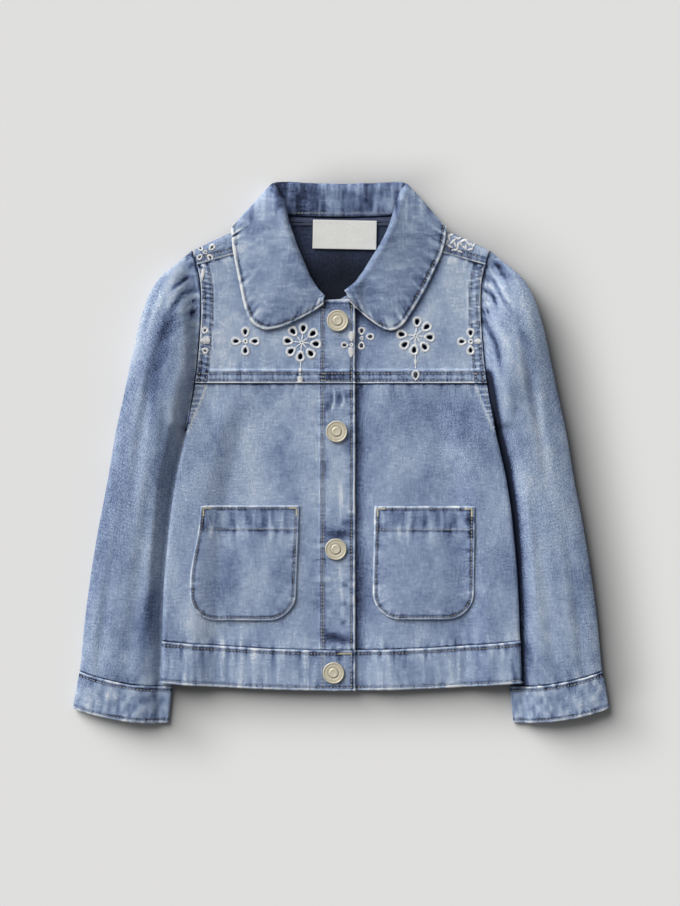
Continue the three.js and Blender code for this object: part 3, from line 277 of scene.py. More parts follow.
# Creases of the sleeves and the body, seen from above: points of each one's line, how wide it
# is, how high (below 0 for a trough) and how much paler or darker it is painted: painted highlight
# on ridges and painted shade in troughs
SLEEVE_CREASES = {}
SLEEVE_CREASES["right"] = (
    (((-121.6, 156), (-124.8, 152.6)), 1, -0.5, -1.6),
    (((-119.3, 152), (-121.1, 149.3)), 1, -0.5, -1.6),
    (((-120, 158), (-130, 149), (-142, 137)), 5, 0.3, 0.9),
    (((-118.2, 140.4), (-122.6, 139.7), (-128.5, 136), (-134.2, 130.1)), 1.2, -0.9, -2.7),
    (((-115.4, 129.3), (-121.1, 128.6), (-127, 124.8), (-131.4, 119), (-135.2, 113)), 1.8, -0.7, -1.7),
    (((-129, 119), (-136, 107.2), (-139.6, 95.2), (-144, 77.6), (-147, 59.7), (-147.8, 40.4),
      (-146.4, 24)), 7.5, -0.5, -0.95),
    (((-133, 114), (-137.6, 102), (-141, 88)), 3, -0.3, -0.2),
    (((-116, 121.9), (-118.9, 119.7)), 1.5, -0.5, -2),
    (((-116, 117.6), (-121.1, 115.2), (-130, 110.8)), 1.6, 0.6, 1.3),
    (((-116, 113.8), (-118.9, 111.5), (-119.3, 108.6)), 1.9, -0.6, -2.3),
    (((-120, 124), (-125, 119.5), (-128, 115.5)), 2, 0.4, 0.7),
    (((-121, 134.5), (-128, 131), (-134.5, 123), (-140, 112)), 2.6, 0.6, 0.7),
    (((-121.5, 107), (-124, 84), (-127, 60), (-130, 40)), 5.5, 0.5, 0.3),
    (((-124, 148), (-134, 137), (-143, 124), (-150, 106), (-154, 88)), 3, 0.6, 0.6),
    (((-128, 150), (-143, 134), (-151, 116), (-157, 94)), 2.6, -0.3, -0.5),
    (((-152, 128), (-159.6, 107), (-165.6, 77.6), (-171, 52)), 4.5, 0.4, 0.6),
    (((-138.4, 12.8), (-145.6, -14.4), (-152, -46.4)), 7, -0.5, -0.5),
    (((-166.4, 41.6), (-173.6, 1.6), (-180, -42.4)), 6, -0.4, -0.4),
    (((-154.4, 3.2), (-160, -38.4), (-164, -76.8)), 5, 0.5, 0.3),
    (((-151, -106), (-154, -130), (-157, -160)), 7, -0.5, -1.1),
    (((-189.6, -86.4), (-195.2, -126.4), (-199.2, -162.4)), 5, 0.5, 0.3),
    (((-175.2, -14.4), (-183.2, -70.4), (-190.4, -126.4)), 4, 0.5, 0.3),
)
SLEEVE_CREASES["left"] = (
    (((120.1, 154.5), (126, 148.6), (129.7, 141.1), (134.9, 133.8)), 1.5, -0.7, -1.7),
    (((123.6, 155.2), (133.4, 142.6), (139.4, 130.8)), 2, -0.5, -0.9),
    (((111.9, 144.9), (117.1, 142.6), (121.6, 138.2), (125.3, 130.8), (129, 121.9), (136.4, 111.5)),
     1.6, -0.8, -1.5),
    (((110.9, 130.8), (115.7, 130), (119.4, 127.1), (122.3, 121.9), (124.1, 115.2)), 1.4, -0.9, -2.3),
    (((111.2, 112.2), (120.1, 112.7)), 1.3, -0.6, -2.2),
    (((111.5, 110.8), (117.1, 99.7), (121.6, 89.3), (124.6, 79), (127, 64)), 2.2, -0.7, -1.7),
    (((110.8, 141.3), (114.6, 140.5), (117.6, 136.9)), 1.6, -0.5, -1.2),
    (((133, 112), (141, 100), (146, 88), (151, 70), (152.8, 46)), 5, -0.5, -0.6),
    (((115.1, 149.4), (120, 143.5), (125.5, 135), (130, 126), (137, 116)), 2, 0.6, 0.9),
    (((113, 136), (118, 133.6), (122, 128)), 1.8, 0.5, 0.8),
    (((112.6, 124), (117, 120), (119, 114.6)), 2, 0.4, 0.6),
    (((127.2, 152), (136.8, 137.6), (144, 121.6), (150.4, 104), (156, 81.6)), 3.6, 0.6, 0.5),
    (((121.6, 104), (127, 94), (132.8, 81.6), (136, 60)), 3.2, 0.6, 0.6),
    (((137.6, 107.2), (140, 89.6), (142.4, 64), (144, 40)), 4, 0.6, 0.4),
    (((163.2, 64), (168.8, 25.6), (175.2, -14.4)), 6, -0.5, -0.35),
    (((153.6, 33.6), (164, -14.4), (172, -62.4)), 6, 0.5, 0.25),
    (((165.6, -70.4), (172, -110.4), (175.2, -150.4)), 6, -0.5, -0.35),
    (((156, -86.4), (159.2, -126.4), (161.6, -158.4)), 5, 0.5, 0.3),
    (((184.8, -86.4), (191.2, -126.4), (196, -160)), 5, -0.5, -0.35),
    (((148, -150.4), (151.2, -162.4), (152, -172.8)), 2.4, -0.6, -0.8),
)
BODY_CREASES = (
    (((-114.4, 43.2), (-104.8, 25.6), (-98.4, 3.2)), 7, -0.5, -0.35),
    (((-112.8, 1.6), (-116, -20.8), (-117.6, -42.4)), 6, 0.4, 0.2),
    (((103.2, 46.4), (100, 25.6), (101.6, 1.6)), 7, -0.6, -0.4),
    (((114.4, 40), (118.4, 21.6), (122.4, 1.6)), 5, 0.4, 0.25),
    (((-63.2, 48), (-66.4, 22.4), (-63.2, -2.4)), 9, -0.35, -0.22),
    (((44, 48), (48.8, 17.6), (45.6, -14.4)), 9, -0.35, -0.2),
    (((71.2, -150.4), (79.2, -134.4), (77.6, -110.4)), 8, -0.4, -0.2),
    (((-92, -150.4), (-87.2, -140.8), (-71.2, -137.6)), 7, -0.4, -0.25),
    (((20, -70.4), (18.4, -102.4), (20, -142.4)), 6, -0.4, -0.25),
    (((28, 43.2), (24.8, 9.6), (26.4, -32)), 6, 0.35, 0.15),
)

# Darker places of the placket within the yoke: the first is painted shade under the tips of the
# collar's lobes, the others darker bands lower down
YOKE_PATCHES = (
    (((-15, 114), (-2, 116), (9, 112)), 7, 0, -1.1),
    (((-14, 90), (9, 88)), 8, 0, -0.4),
    (((-15, 61), (9, 60)), 4, 0, -0.9),
)
# How much painted shade darkens the inside of the back, deep in the neck's opening
NECK_PAINTED_SHADE = 1.7
# How much darker each yoke is in the collar's shade, and how wide that shade is
COLLAR_SHADE = {"right": 0.4, "left": 1.2}
COLLAR_SHADE_WIDTH = 5.5

# Patches of the placket that have kept their indigo, and paler wrinkles between them
PATCHES = (
    (((-14, 47), (-5, 43), (4, 45), (10, 46)), 6.5, 0, -1.3),
    (((-13, 37.6), (-7, 36)), 4, 0, -1.2),
    (((-6.4, 51), (-5.2, 42), (-7.6, 33)), 1, 0, 1.7),
    (((0.4, 50), (2, 42), (-0.4, 34)), 1, 0, 1.7),
    (((-2.8, 26), (-2, 4)), 1.6, 0, 0.9),
    (((-13, -65), (0, -66), (8.4, -63)), 4.6, 0, -1.5),
    (((-0.8, -20), (0, -40), (-0.4, -56)), 1.6, 0, 0.8),
    (((3.2, -54.4), (3.6, -58.4)), 3.6, 0, -1.2),
    (((2, -103.2), (2.6, -109)), 3.2, 0, -1.3),
    (((2, -119.2), (2.4, -124)), 3, 0, -1.2),
    (((1.6, -134), (2.2, -138)), 3, 0, -1.1),
    (((-0.8, -92), (0.6, -112), (1.4, -136)), 1.6, 0, 0.8),
    (((-15.2, -149.6), (-6, -148), (0, -149.6), (8, -150.4)), 4.6, 0, -1.7),
    (((-13.2, 4), (-12, -10), (-12.8, -28)), 3.4, 0, -0.5),
    (((6, 22), (5.2, 12), (6, -2)), 3.4, 0, -0.6),
    (((6.4, -18), (5.6, -28), (6.2, -40)), 3.4, 0, -0.6),
)

# Buttons, down the front
BUTTON_RADIUS = 8.6
BUTTON_HEIGHT = 2.6
BUTTONS = (
    ("button_1", -2.7, 105),
    ("button_2", -3.5, 16.3),
    ("button_3", -4.1, -77.8),
    ("button_4", -6, -176.6),
)

# Neck tape and woven label inside the back
NECK_TAPE = {"left": -42, "right": 41, "low": 181.4, "high": 186.6, "thickness": 0.8, "tilt": 0}
LABEL = {"left": -22.6, "right": 28.5, "low": 162.4, "high": 185.6, "thickness": 0.6, "tilt": 1.1}


def lerp(a, b, t):
    return a + (b - a) * t


def smooth(low, high, value):
    t = np.clip((value - low) / (high - low), 0, 1)
    return t * t * (3 - 2 * t)


def bell(distance, width, power=2):
    """1 on a line, falling smoothly to nothing beyond a width from it."""
    return np.exp(-((distance / width) ** power))


def joined(*columns):
    """Columns of numbers, side by side in one array."""
    return np.stack(np.broadcast_arrays(*columns), axis=-1)


def run_along(points):
    """How far along a line of points each of them lies."""
    return np.concatenate([[0], np.cumsum(np.linalg.norm(np.diff(points, axis=0), axis=1))])


def curve(rows, along, column):
    """A smooth curve through one column of a table, flat beyond its ends."""
    xs = rows[along]
    ys = rows[column]
    before = np.maximum(np.arange(len(xs)) - 1, 0)
    after = np.minimum(np.arange(len(xs)) + 1, len(xs) - 1)
    slopes = (ys[after] - ys[before]) / (xs[after] - xs[before])

    def value(x):
        x = np.clip(x, xs[0], xs[-1])
        i = np.clip(np.searchsorted(xs, x, side="right") - 1, 0, len(xs) - 2)
        span = xs[i + 1] - xs[i]
        t = (x - xs[i]) / span
        rise = ys[i + 1] - ys[i]
        bend = t * (1 - t) * ((slopes[i] * span - rise) * (1 - t) + (rise - slopes[i + 1] * span) * t)
        return ys[i] + rise * t + bend

    return value


def line_through(points, share_of_length=True):
    """A smooth line through a few points, asked for by the share of its length."""
    points = np.asarray(points, float)
    ends = [2 * points[0] - points[1], *points, 2 * points[-1] - points[-2]]
    dense = []
    steps = np.linspace(0, 1, 24, endpoint=False)[:, None]
    for p0, p1, p2, p3 in zip(ends, ends[1:], ends[2:], ends[3:]):
        spans = ((p0, p1), (p1, p2), (p2, p3))
        k0, k1, k2 = (math.sqrt(max(np.linalg.norm(b - a), 1e-9)) for a, b in spans)
        t1 = ((p1 - p0) / k0 - (p2 - p0) / (k0 + k1) + (p2 - p1) / k1) * k1
        t2 = ((p2 - p1) / k1 - (p3 - p1) / (k1 + k2) + (p3 - p2) / k2) * k1
        rise = (3 * (p2 - p1) - 2 * t1 - t2) * steps**2 + (2 * (p1 - p2) + t1 + t2) * steps**3
        dense.append(p1 + t1 * steps + rise)
    dense = np.vstack([*dense, points[-1:]])
    if share_of_length:
        length = run_along(dense)
        share = length / length[-1]
    else:
        share = np.linspace(0, 1, len(dense))
    return lambda at: np.stack([np.interp(at, share, column) for column in dense.T], axis=-1)


def fold_over(distance, radius):
    """How far a fold has risen, from 0 at its edge to 1 a radius in from it."""
    t = np.clip(distance / radius, 0, 1)
    return np.sqrt(1 - (1 - t) ** 2)


def soft_min(a, b):
    return np.minimum(a, b) - np.log1p(np.exp(-np.abs(a - b)))


half_width = curve(BODY_SIDE, "y", "half")
middle_thickness = curve(MIDDLE_THICKNESS, "y", "thickness")
sleeve_crown = curve(SLEEVE_HEIGHT, "along", "crown")
pleat_depth = curve(PLEAT_DEPTH, "along", "depth")
sleeve_outer = line_through(joined(SLEEVE_OUTER_EDGE["x"], SLEEVE_OUTER_EDGE["y"]))
sleeve_inner = line_through(joined(SLEEVE_INNER_EDGE["x"], SLEEVE_INNER_EDGE["y"]))


def hem_seam_y(x):
    return HEM_SEAM_Y + HEM_SEAM_RISE * (x / half_width(HEM_SEAM_Y)) ** 2


def hem_edge_y(x):
    return HEM_EDGE_Y + HEM_EDGE_RISE * (x / half_width(HEM_EDGE_Y)) ** 2


def shoulder_seam_y(x):
    return SHOULDER_SEAM_Y + SHOULDER_SEAM_SLOPE * (SHOULDER_SEAM_X - np.abs(x))


def shoulder_y(x):
    out = np.maximum(np.abs(x), NECK_HALF)
    return SHOULDER_TOP - SHOULDER_SLOPE * out - SHOULDER_UNDER_COLLAR * (1 - smooth(*COLLAR_REACH, out))


def body_thickness(x, y):
    side = lerp(SIDE_THICKNESS, SIDE_THICKNESS_AT_SHOULDER, smooth(20, 60, y))
    return lerp(middle_thickness(y), side, smooth(MIDDLE_FLAT, SIDE_FLAT, np.abs(x)))


def side_lift(x, y):
    inset = half_width(y) - np.abs(x)
    return SIDE_LIFT * (1 - smooth(LIFT_FULL_Y, LIFT_NONE_Y, y)) * (1 - smooth(LIFT_FLAT, LIFT_END, inset))


def side_closed(y):
    return 1 - smooth(SIDE_CLOSED_Y, SIDE_OPEN_Y, y)


def front_z(x, y):
    """The surface that the panel of the front lies along, before its edges are raised."""
    lift = side_lift(x, y)
    thickness = body_thickness(x, y)
    fold = fold_over(half_width(y) - np.abs(x), SIDE_FOLD)
    rounded = lift + (thickness + SIDE_SEAM_GAP) / 2 + (thickness - SIDE_SEAM_GAP) / 2 * fold
    return lerp(lift + thickness, rounded, side_closed(y))


def back_z(x, y):
    """The underside of the back."""
    under_collar = smooth(UNDER_COLLAR_Y, SHOULDER_EDGE_Y, y) * (1 - smooth(*COLLAR_LIFT_END, np.abs(x)))
    fold = fold_over(half_width(y) - np.abs(x), SIDE_FOLD)
    turned = side_closed(y) * (body_thickness(x, y) - SIDE_SEAM_GAP) / 2 * (1 - fold)
    return np.maximum(side_lift(x, y), COLLAR_LIFT * under_collar) + turned


def underlap(x):
    return 1 - smooth(UNDERLAP_LOW_X, UNDERLAP_HIGH_X, x)


def placket(x):
    return smooth(PLACKET_X - 0.7, PLACKET_X, x)


def yoke_band(y):
    return YOKE_BAND_RAISE * (1 - smooth(YOKE_Y + YOKE_BAND, YOKE_Y + YOKE_BAND + 1, y))


def right_front_z(x, y):
    return front_z(x, y) + PLACKET_RAISE * placket(x)


def left_front_z(x, y):
    return front_z(x, y) - UNDERLAP_DROP * underlap(x)


def yoke_right_z(x, y):
    return right_front_z(x, y) + yoke_band(y)


def yoke_left_z(x, y):
    return left_front_z(x, y) + yoke_band(y) * (1 - underlap(x) * 0.9)


FRONT_Z = {"right": right_front_z, "left": left_front_z}
YOKE_Z = {"right": yoke_right_z, "left": yoke_left_z}


def front_wall(side, x):
    """How thick the cloth of a front is: thicker in the placket, and at the underlap."""
    if side == "right":
        return lerp(WALL, PLACKET_WALL - RELIEF_ROOM, placket(x))
    return lerp(WALL, UNDERLAP_WALL, underlap(x))


def under_left_lobe_z(x, y):
    """What the left half of the collar lies on: the corner of the placket, then its own yoke."""
    over = smooth(FREE_EDGE_X + 1, FREE_EDGE_X + 7, x)
    return lerp(yoke_right_z(np.minimum(x, FREE_EDGE_X), y), yoke_left_z(x, y), over)


def noise(x, y, seed):
    """Smooth random values from -1 to 1 over a plane of unit cells."""
    lattice = np.random.default_rng(seed).uniform(-1, 1, (256, 256))
    column = np.floor(x).astype(int)
    row = np.floor(y).astype(int)
    tx = smooth(0, 1, x - column)
    ty = smooth(0, 1, y - row)

    def at(i, j):
        return lattice[i % 256, j % 256]

    low = lerp(at(column, row), at(column + 1, row), tx)
    high = lerp(at(column, row + 1), at(column + 1, row + 1), tx)
    return lerp(low, high, ty)


def beside(x, y, line):
    """How far each point of a plane lies from a line of points, and how far along the line."""
    points = joined(np.ravel(x), np.ravel(y))
    line = np.asarray(line, float)
    run = np.diff(line, axis=0)
    length = np.linalg.norm(run, axis=1)
    start = run_along(line)
    best = np.full(len(points), 1e9)
    along = np.zeros(len(points))
    for a, ab, size, begun in zip(line, run, length, start):
        t = np.clip((points - a) @ ab / size**2, 0, 1)
        far = np.linalg.norm(points - a - t[:, None] * ab, axis=1)
        nearer = far < best
        best = np.where(nearer, far, best)
        along = np.where(nearer, begun + t * size, along)
    return best.reshape(np.shape(x)), along.reshape(np.shape(x))


ROPE_RAISE = 0.3
ROW_SINK = 0.25
ROW_WIDTH = 1.1
# What each seam is like unless it says otherwise: how far its puckers reach, how deep and how long
# they are and how much they have faded, worn paler on their crests and with painted shade in their
# hollows, how pale its worn edge is, how dark the painted shade is at its edge where another piece
# laps over it, and how wide that edge is, how dark the painted shade is in the sunken rows beside its
# stitches, and how far in its rows of stitches are
SEAM = {
    "reach": 8, "depth": 0.35, "wave": 6, "fade": 1.1, "light": 1.3, "dark": 0, "rim": 1.6, "pits": 1.8,
    "rows": (2.6,),
}


def seam(line, seed, **changes):
    """A sewn line and how the cloth has puckered and faded along it, with painted shade at its edge and in its
    sunken rows.
    """
    return {**SEAM, "line": np.asarray(line, float), "seed": seed, **changes}


def creased(x, y, creases):
    """Soft folds and patches along lines seen from above: how far the cloth stands proud, and how much paler or
    darker it is: painted light and shade on folds, and darker or paler places elsewhere.
    """
    lift = np.zeros(np.shape(x))
    fade = np.zeros(np.shape(x))
    for points, width, depth, tone in creases:
        line = line_through(points)(np.linspace(0, 1, 4 * len(points)))
        total = np.linalg.norm(np.diff(line, axis=0), axis=1).sum()
        far, along = beside(x, y, line)
        taper = np.sin(np.pi * np.clip(along / total, 0.03, 0.97)) ** 0.6
        wander = 1 + 0.25 * noise(along / 9, far / 6 + 3, 211)
        lift = lift + depth * bell(far, width * wander) * taper
        fade = fade + tone * bell(far, 0.85 * width * wander) * taper
    return lift, fade


def relief(x, y, seams=(), seed=1):
    """How far the cloth stands proud at each point of a plane, and how faded it is there, with painted shade along
    its seams.
    """
    lift = 0.2 * noise(x / 17, y / 26, seed) + 0.12 * noise(x / 7, y / 11, seed + 1)
    fade = 0.3 * noise(x / 23, y / 31, seed + 2) + 0.16 * noise(x / 6, y / 9, seed + 3) + 0.3 * lift
    for one in seams:
        far, along = beside(x, y, one["line"])
        near = bell(far, one["reach"])
        crests = noise(along / one["wave"] * 1.6, far / (3 * one["reach"]) + 9, one["seed"])
        finer = noise(along / one["wave"] * 3.1, far / (2 * one["reach"]) + 5, one["seed"] + 1)
        crests = crests + 0.6 * finer
        strength = 0.65 + 0.35 * noise(along / 26, 3 + 0 * along, one["seed"] + 2)
        lift = lift + one["depth"] * near * crests * strength * smooth(0, 1, far)
        edge = bell(far, one["rim"], 4) * (0.9 + 0.25 * noise(along / 2.2, 7 + 0 * along, one["seed"] + 3))
        sunk = sum(bell(far - row, ROW_WIDTH) for row in one["rows"])
        sunk = sunk * (0.8 + 0.35 * noise(along / 1.1, 3 + 0 * along, one["seed"] + 4))
        lift = lift + ROPE_RAISE * edge * (one["light"] > 0) - ROW_SINK * sunk * (one["pits"] > 0)
        # Worn pale edges (light), painted shade at edges that another piece laps over (dark) and in the sunken
        # rows of stitches (pits), and puckers worn paler on their crests with painted shade in their hollows
        fade = fade + one["fade"] * near * crests * strength + (one["light"] - one["dark"]) * edge
        fade = fade - one["pits"] * sunk
    return lift, fade


FOLD_STEPS = np.array([0, 0.12, 0.4, 0.85, 1.4, 2.1, 3.0])


def spaced(start, end, step, fine_start=False, fine_end=False):
    """Places from start to end about a step apart, closer together where an end is fine."""
    length = abs(end - start)
    head = FOLD_STEPS if fine_start else np.array([0.0])
    tail = length - FOLD_STEPS[::-1] if fine_end else np.array([length])
    count = max(round((tail[0] - head[-1]) / step), 1)
    middle = np.linspace(head[-1], tail[0], count + 1)[1:-1]
    return start + np.sign(end - start) * np.concatenate([head, middle, tail])


def grid_faces(rows, columns, ring=False, flip=False):
    """The quads of a grid of points, and the row and column of each of their corners."""
    r, c = np.meshgrid(np.arange(rows - 1), np.arange(columns if ring else columns - 1), indexing="ij")
    r, c = r.ravel(), c.ravel()
    corners = [(r, c), (r, c + 1), (r + 1, c + 1), (r + 1, c)]
    if flip:
        corners = corners[::-1]
    places = np.stack([joined(*corner) for corner in corners], axis=1)
    return places[:, :, 0] * columns + places[:, :, 1] % columns, places


def normals_of(points, faces):
    """The direction each point faces, from the faces around it."""
    corners = points[faces]
    facing = np.cross(corners[:, 2] - corners[:, 0], corners[:, -1] - corners[:, 1])
    total = np.zeros_like(points)
    for axis in range(3):
        for corner in faces.T:
            total[:, axis] += np.bincount(corner, facing[:, axis], len(points))
    size = np.linalg.norm(total, axis=1, keepdims=True)
    return total / np.maximum(size, 1e-12)


def mesh_object(name, points, faces, materials, corner_uv=None, slots=None, fade=None):
    """A smooth mesh object, in metres, at the origin."""
    mesh = bpy.data.meshes.new(name)
    mesh.from_pydata((points * MM).tolist(), [], faces)
    mesh.shade_smooth()
    for material in materials:
        mesh.materials.append(material)
    if slots is not None:
        mesh.polygons.foreach_set("material_index", np.asarray(slots, np.int32))
    if corner_uv is not None:
        layer = mesh.uv_layers.new(name="cloth")
        layer.uv.foreach_set("vector", (corner_uv * MM).astype(np.float32).ravel())
    if fade is not None:
        # One colour attribute for each point: fading and wear of the cloth, painted light and shade, and the
        # floor's painted shade
        attribute = mesh.attributes.new("fade", "FLOAT", "POINT")
        attribute.data.foreach_set("value", np.asarray(fade, np.float32))
    mesh.update()
    piece = bpy.data.objects.new(name, mesh)
    bpy.context.scene.collection.objects.link(piece)
    return piece


# Shader maths, written as sums on sockets
class Number:
    """A number in a material, so that sums on it add Math nodes."""

    def __init__(self, paint, socket):
        self.paint = paint
        self.socket = socket

    def _sum(self, operation, first, second):
        return self.paint.node("ShaderNodeMath", {"operation": operation}, {0: first, 1: second})

    def __add__(self, other):
        return self._sum("ADD", self, other)

    def __sub__(self, other):
        return self._sum("SUBTRACT", self, other)

    def __rsub__(self, other):
        return self._sum("SUBTRACT", other, self)

    def __mul__(self, other):
        return self._sum("MULTIPLY", self, other)

    __radd__ = __add__
    __rmul__ = __mul__


class Paint:
    """A material and the nodes that make it."""

    def __init__(self, name, **constants):
        self.material = bpy.data.materials.new(name)
        self.material.use_nodes = True
        self.tree = self.material.node_tree
        self.shader = self.tree.nodes["Principled BSDF"]
        for socket, value in constants.items():
            self.shader.inputs[socket.replace("_", " ")].default_value = value

    def node(self, kind, settings=None, inputs=None, output=0):
        made = self.tree.nodes.new(kind)
        for key, value in (settings or {}).items():
            if key == "stops":
                self.set_stops(made.color_ramp, value)
            else:
                setattr(made, key, value)
        for key, value in (inputs or {}).items():
            self.feed(made.inputs[key], value)
        return Number(self, made.outputs[output])

    def set_stops(self, ramp, stops):
        while len(ramp.elements) < len(stops):
            ramp.elements.new(0.5)
        for element, (position, colour) in zip(ramp.elements, stops):
            element.position = position
            element.color = colour

    def feed(self, socket, value):
        if isinstance(value, Number):
            self.tree.links.new(value.socket, socket)
        else:
            socket.default_value = value

    def noise(self, vector, scale, detail=2.0, roughness=0.5):
        """Cloudy values about 0, from about -0.5 to 0.5."""
        stretched = self.node("ShaderNodeVectorMath", {"operation": "MULTIPLY"}, {0: vector, 1: scale})
        inputs = {"Vector": stretched, "Scale": 1.0, "Detail": detail, "Roughness": roughness}
        return self.node("ShaderNodeTexNoise", {}, inputs) - 0.5

    def ramp(self, factor, *stops):
        return self.node("ShaderNodeValToRGB", {"stops": stops}, {"Fac": factor})

    def bump(self, height, distance):
        return self.node("ShaderNodeBump", {}, {"Height": height, "Distance": distance, "Strength": 1.0})

    def finish(self, **links):
        for socket, value in links.items():
            self.feed(self.shader.inputs[socket.replace("_", " ")], value)
        return self.material


def srgb(red, green, blue):
    """A colour of 0 to 255 values, as the light it gives back."""

    def light(value):
        value = value / 255
        return value / 12.92 if value <= 0.04045 else ((value + 0.055) / 1.055) ** 2.4

    return (light(red), light(green), light(blue), 1.0)


DENIM_STOPS = (
    (0.0, srgb(27, 34, 52)),
    (0.2, srgb(71, 85, 120)),
    (0.45, srgb(121, 138, 169)),
    (0.7, srgb(163, 179, 202)),
    (1.0, srgb(222, 224, 224)),
)
# The inside of the cloth, far darker than the reverse of light denim: painted shade for the hollow inside the
# jacket, seen through the neck
SHADED_INSIDE_STOPS = (
    (0.0, srgb(20, 25, 36)),
    (0.5, srgb(44, 53, 74)),
    (1.0, srgb(84, 96, 122)),
)


def denim(name, stops, wash):
    """Washed denim: slubby warp, a fine twill, cloudy fading, and worn seams with painted light and shade, from an
    attribute of the pieces.
    """
    paint = Paint(name, Roughness=0.9, Specular_IOR_Level=0.2)
    place = paint.node("ShaderNodeUVMap", {"uv_map": "cloth"})
    # Fading and wear of the cloth, with painted light and shade, from the pieces
    wear_and_shade = paint.node("ShaderNodeAttribute", {"attribute_name": "fade"}, output=2)
    slub = paint.noise(place, (900, 120, 1), 3.0, 0.6)
    weft = paint.noise(place, (110, 900, 1), 2.0, 0.5)
    speck = paint.noise(place, (1150, 760, 1), 2.0, 0.7)
    cloud = paint.noise(place, (34, 17, 1), 2.0, 0.5)
    twill = paint.node(
        "ShaderNodeTexWave",
        {"wave_type": "BANDS", "bands_direction": "DIAGONAL"},
        {"Vector": place, "Scale": 380.0, "Distortion": 1.2, "Detail": 1.0, "Detail Scale": 1.0},
        output=1,
    )
    faded_and_shaded = wash + slub * 0.5 + weft * 0.34 + speck * 1.15 + cloud * 0.4 + (twill - 0.5) * 0.16 + wear_and_shade * 0.3
    colour = paint.ramp(faded_and_shaded, *stops)
    relief_height = twill * 0.35 + slub * 0.9 + speck * 0.7
    return paint.finish(Base_Color=colour, Normal=paint.bump(relief_height, 0.00022))


OUTSIDE = denim("light_wash_denim", DENIM_STOPS, 0.5)
SHADED_INSIDE = denim("denim_inside", SHADED_INSIDE_STOPS, 0.45)


def cloth(name, base, faces, corner_uv, lift, fade, thickness, materials=(OUTSIDE, SHADED_INSIDE)):
    """A closed wall of cloth: its outer points stand proud of a base, and its inner ones lie within."""
    lift, fade, thickness = np.ravel(lift), np.ravel(fade), np.ravel(thickness)
    facing = normals_of(base, faces)
    outer = base + facing * lift[:, None]
    inner = base + facing * (np.minimum(lift, 0) - thickness)[:, None]
    outer[:, 2] = np.maximum(outer[:, 2], 0)
    inner[:, 2] = np.maximum(inner[:, 2], LEAST_INNER_Z)
    count = len(base)
    starts = faces.ravel()
    ends = np.roll(faces, -1, axis=1).ravel()
    open_edge = ~np.isin(starts * count + ends, ends * count + starts)
    a, b = starts[open_edge], ends[open_edge]
    uv_a = corner_uv.reshape(-1, 2)[open_edge]
    uv_b = np.roll(corner_uv, -1, axis=1).reshape(-1, 2)[open_edge]
    rim = joined(b, a, a + count, b + count)
    rim_uv = np.stack([uv_b, uv_a, uv_a, uv_b], axis=1)
    every_face = [*faces.tolist(), *(faces[:, ::-1] + count).tolist(), *rim.tolist()]
    every_uv = np.vstack([uv.reshape(-1, 2) for uv in (corner_uv, corner_uv[:, ::-1], rim_uv)])
    slots = np.repeat([0, 1, 0], [len(faces), len(faces), len(rim)])
    points = np.vstack([outer, inner])
    return mesh_object(name, points, every_face, materials, every_uv, slots, np.tile(fade, 2))


def edge_drop(distance, radius):
    """How far a folded edge rounds down within a radius of its end."""
    return radius * (1 - fold_over(distance, radius))


# The lines that the panels are sewn along
def along_x(y_at, start, end, count=30):
    x = np.linspace(start, end, count)
    return joined(x, y_at(x) if callable(y_at) else y_at)


def along_y(x_at, start, end, count=30):
    y = np.linspace(start, end, count)
    return joined(x_at(y) if callable(x_at) else x_at, y)


ROUND_EDGE = 1.1


def free_edge_drop(side, x):
    """How far the free edge of the right front rounds down."""
    return edge_drop(FREE_EDGE_X - x, ROUND_EDGE) if side == "right" else 0


def free_edge_shade(side, x):
    """How much darker the left front is beside the edge that laps over it."""
    return 1.1 * bell(x - FREE_EDGE_X - 1, 5) * (x > FREE_EDGE_X - 4) if side == "left" else 0


# Width of the turned band beside each armhole, and of the seam's ridges across it
ARMHOLE_BAND = 8.6
RIDGE_PITCH = 4.3

# Painted light (right sleeve) and painted shade cast by the body's side (left sleeve) on each sleeve
# beside the body: how strong near the hem, higher up, how wide, and where it ends
SIDE_LIGHT_SHADE_LOW = {"right": 0.3, "left": -1.9}
SIDE_LIGHT_SHADE_HIGH = {"right": 0.35, "left": -4.8}
SIDE_LIGHT_SHADE_WIDTH = {"right": 14, "left": 3.8}
SIDE_LIGHT_SHADE_END = {"right": (105, 130), "left": (58, 70)}

# How much paler (above 0) or darker than the rest each part is, as its cloth has washed; on the
# collar's stand, deep in the neck, the darkening is painted shade
WASH_AND_SHADE = {
    "front_right": 0.15, "front_left": -0.05, "yoke": 0.35, "hem": 0.1, "cuff": 0.2, "pocket": 0.0,
    "lobe_right": 0.05, "lobe_left": -0.15, "stand": -0.9, "sleeve_right": 0.0, "sleeve_left": 0.2,
}


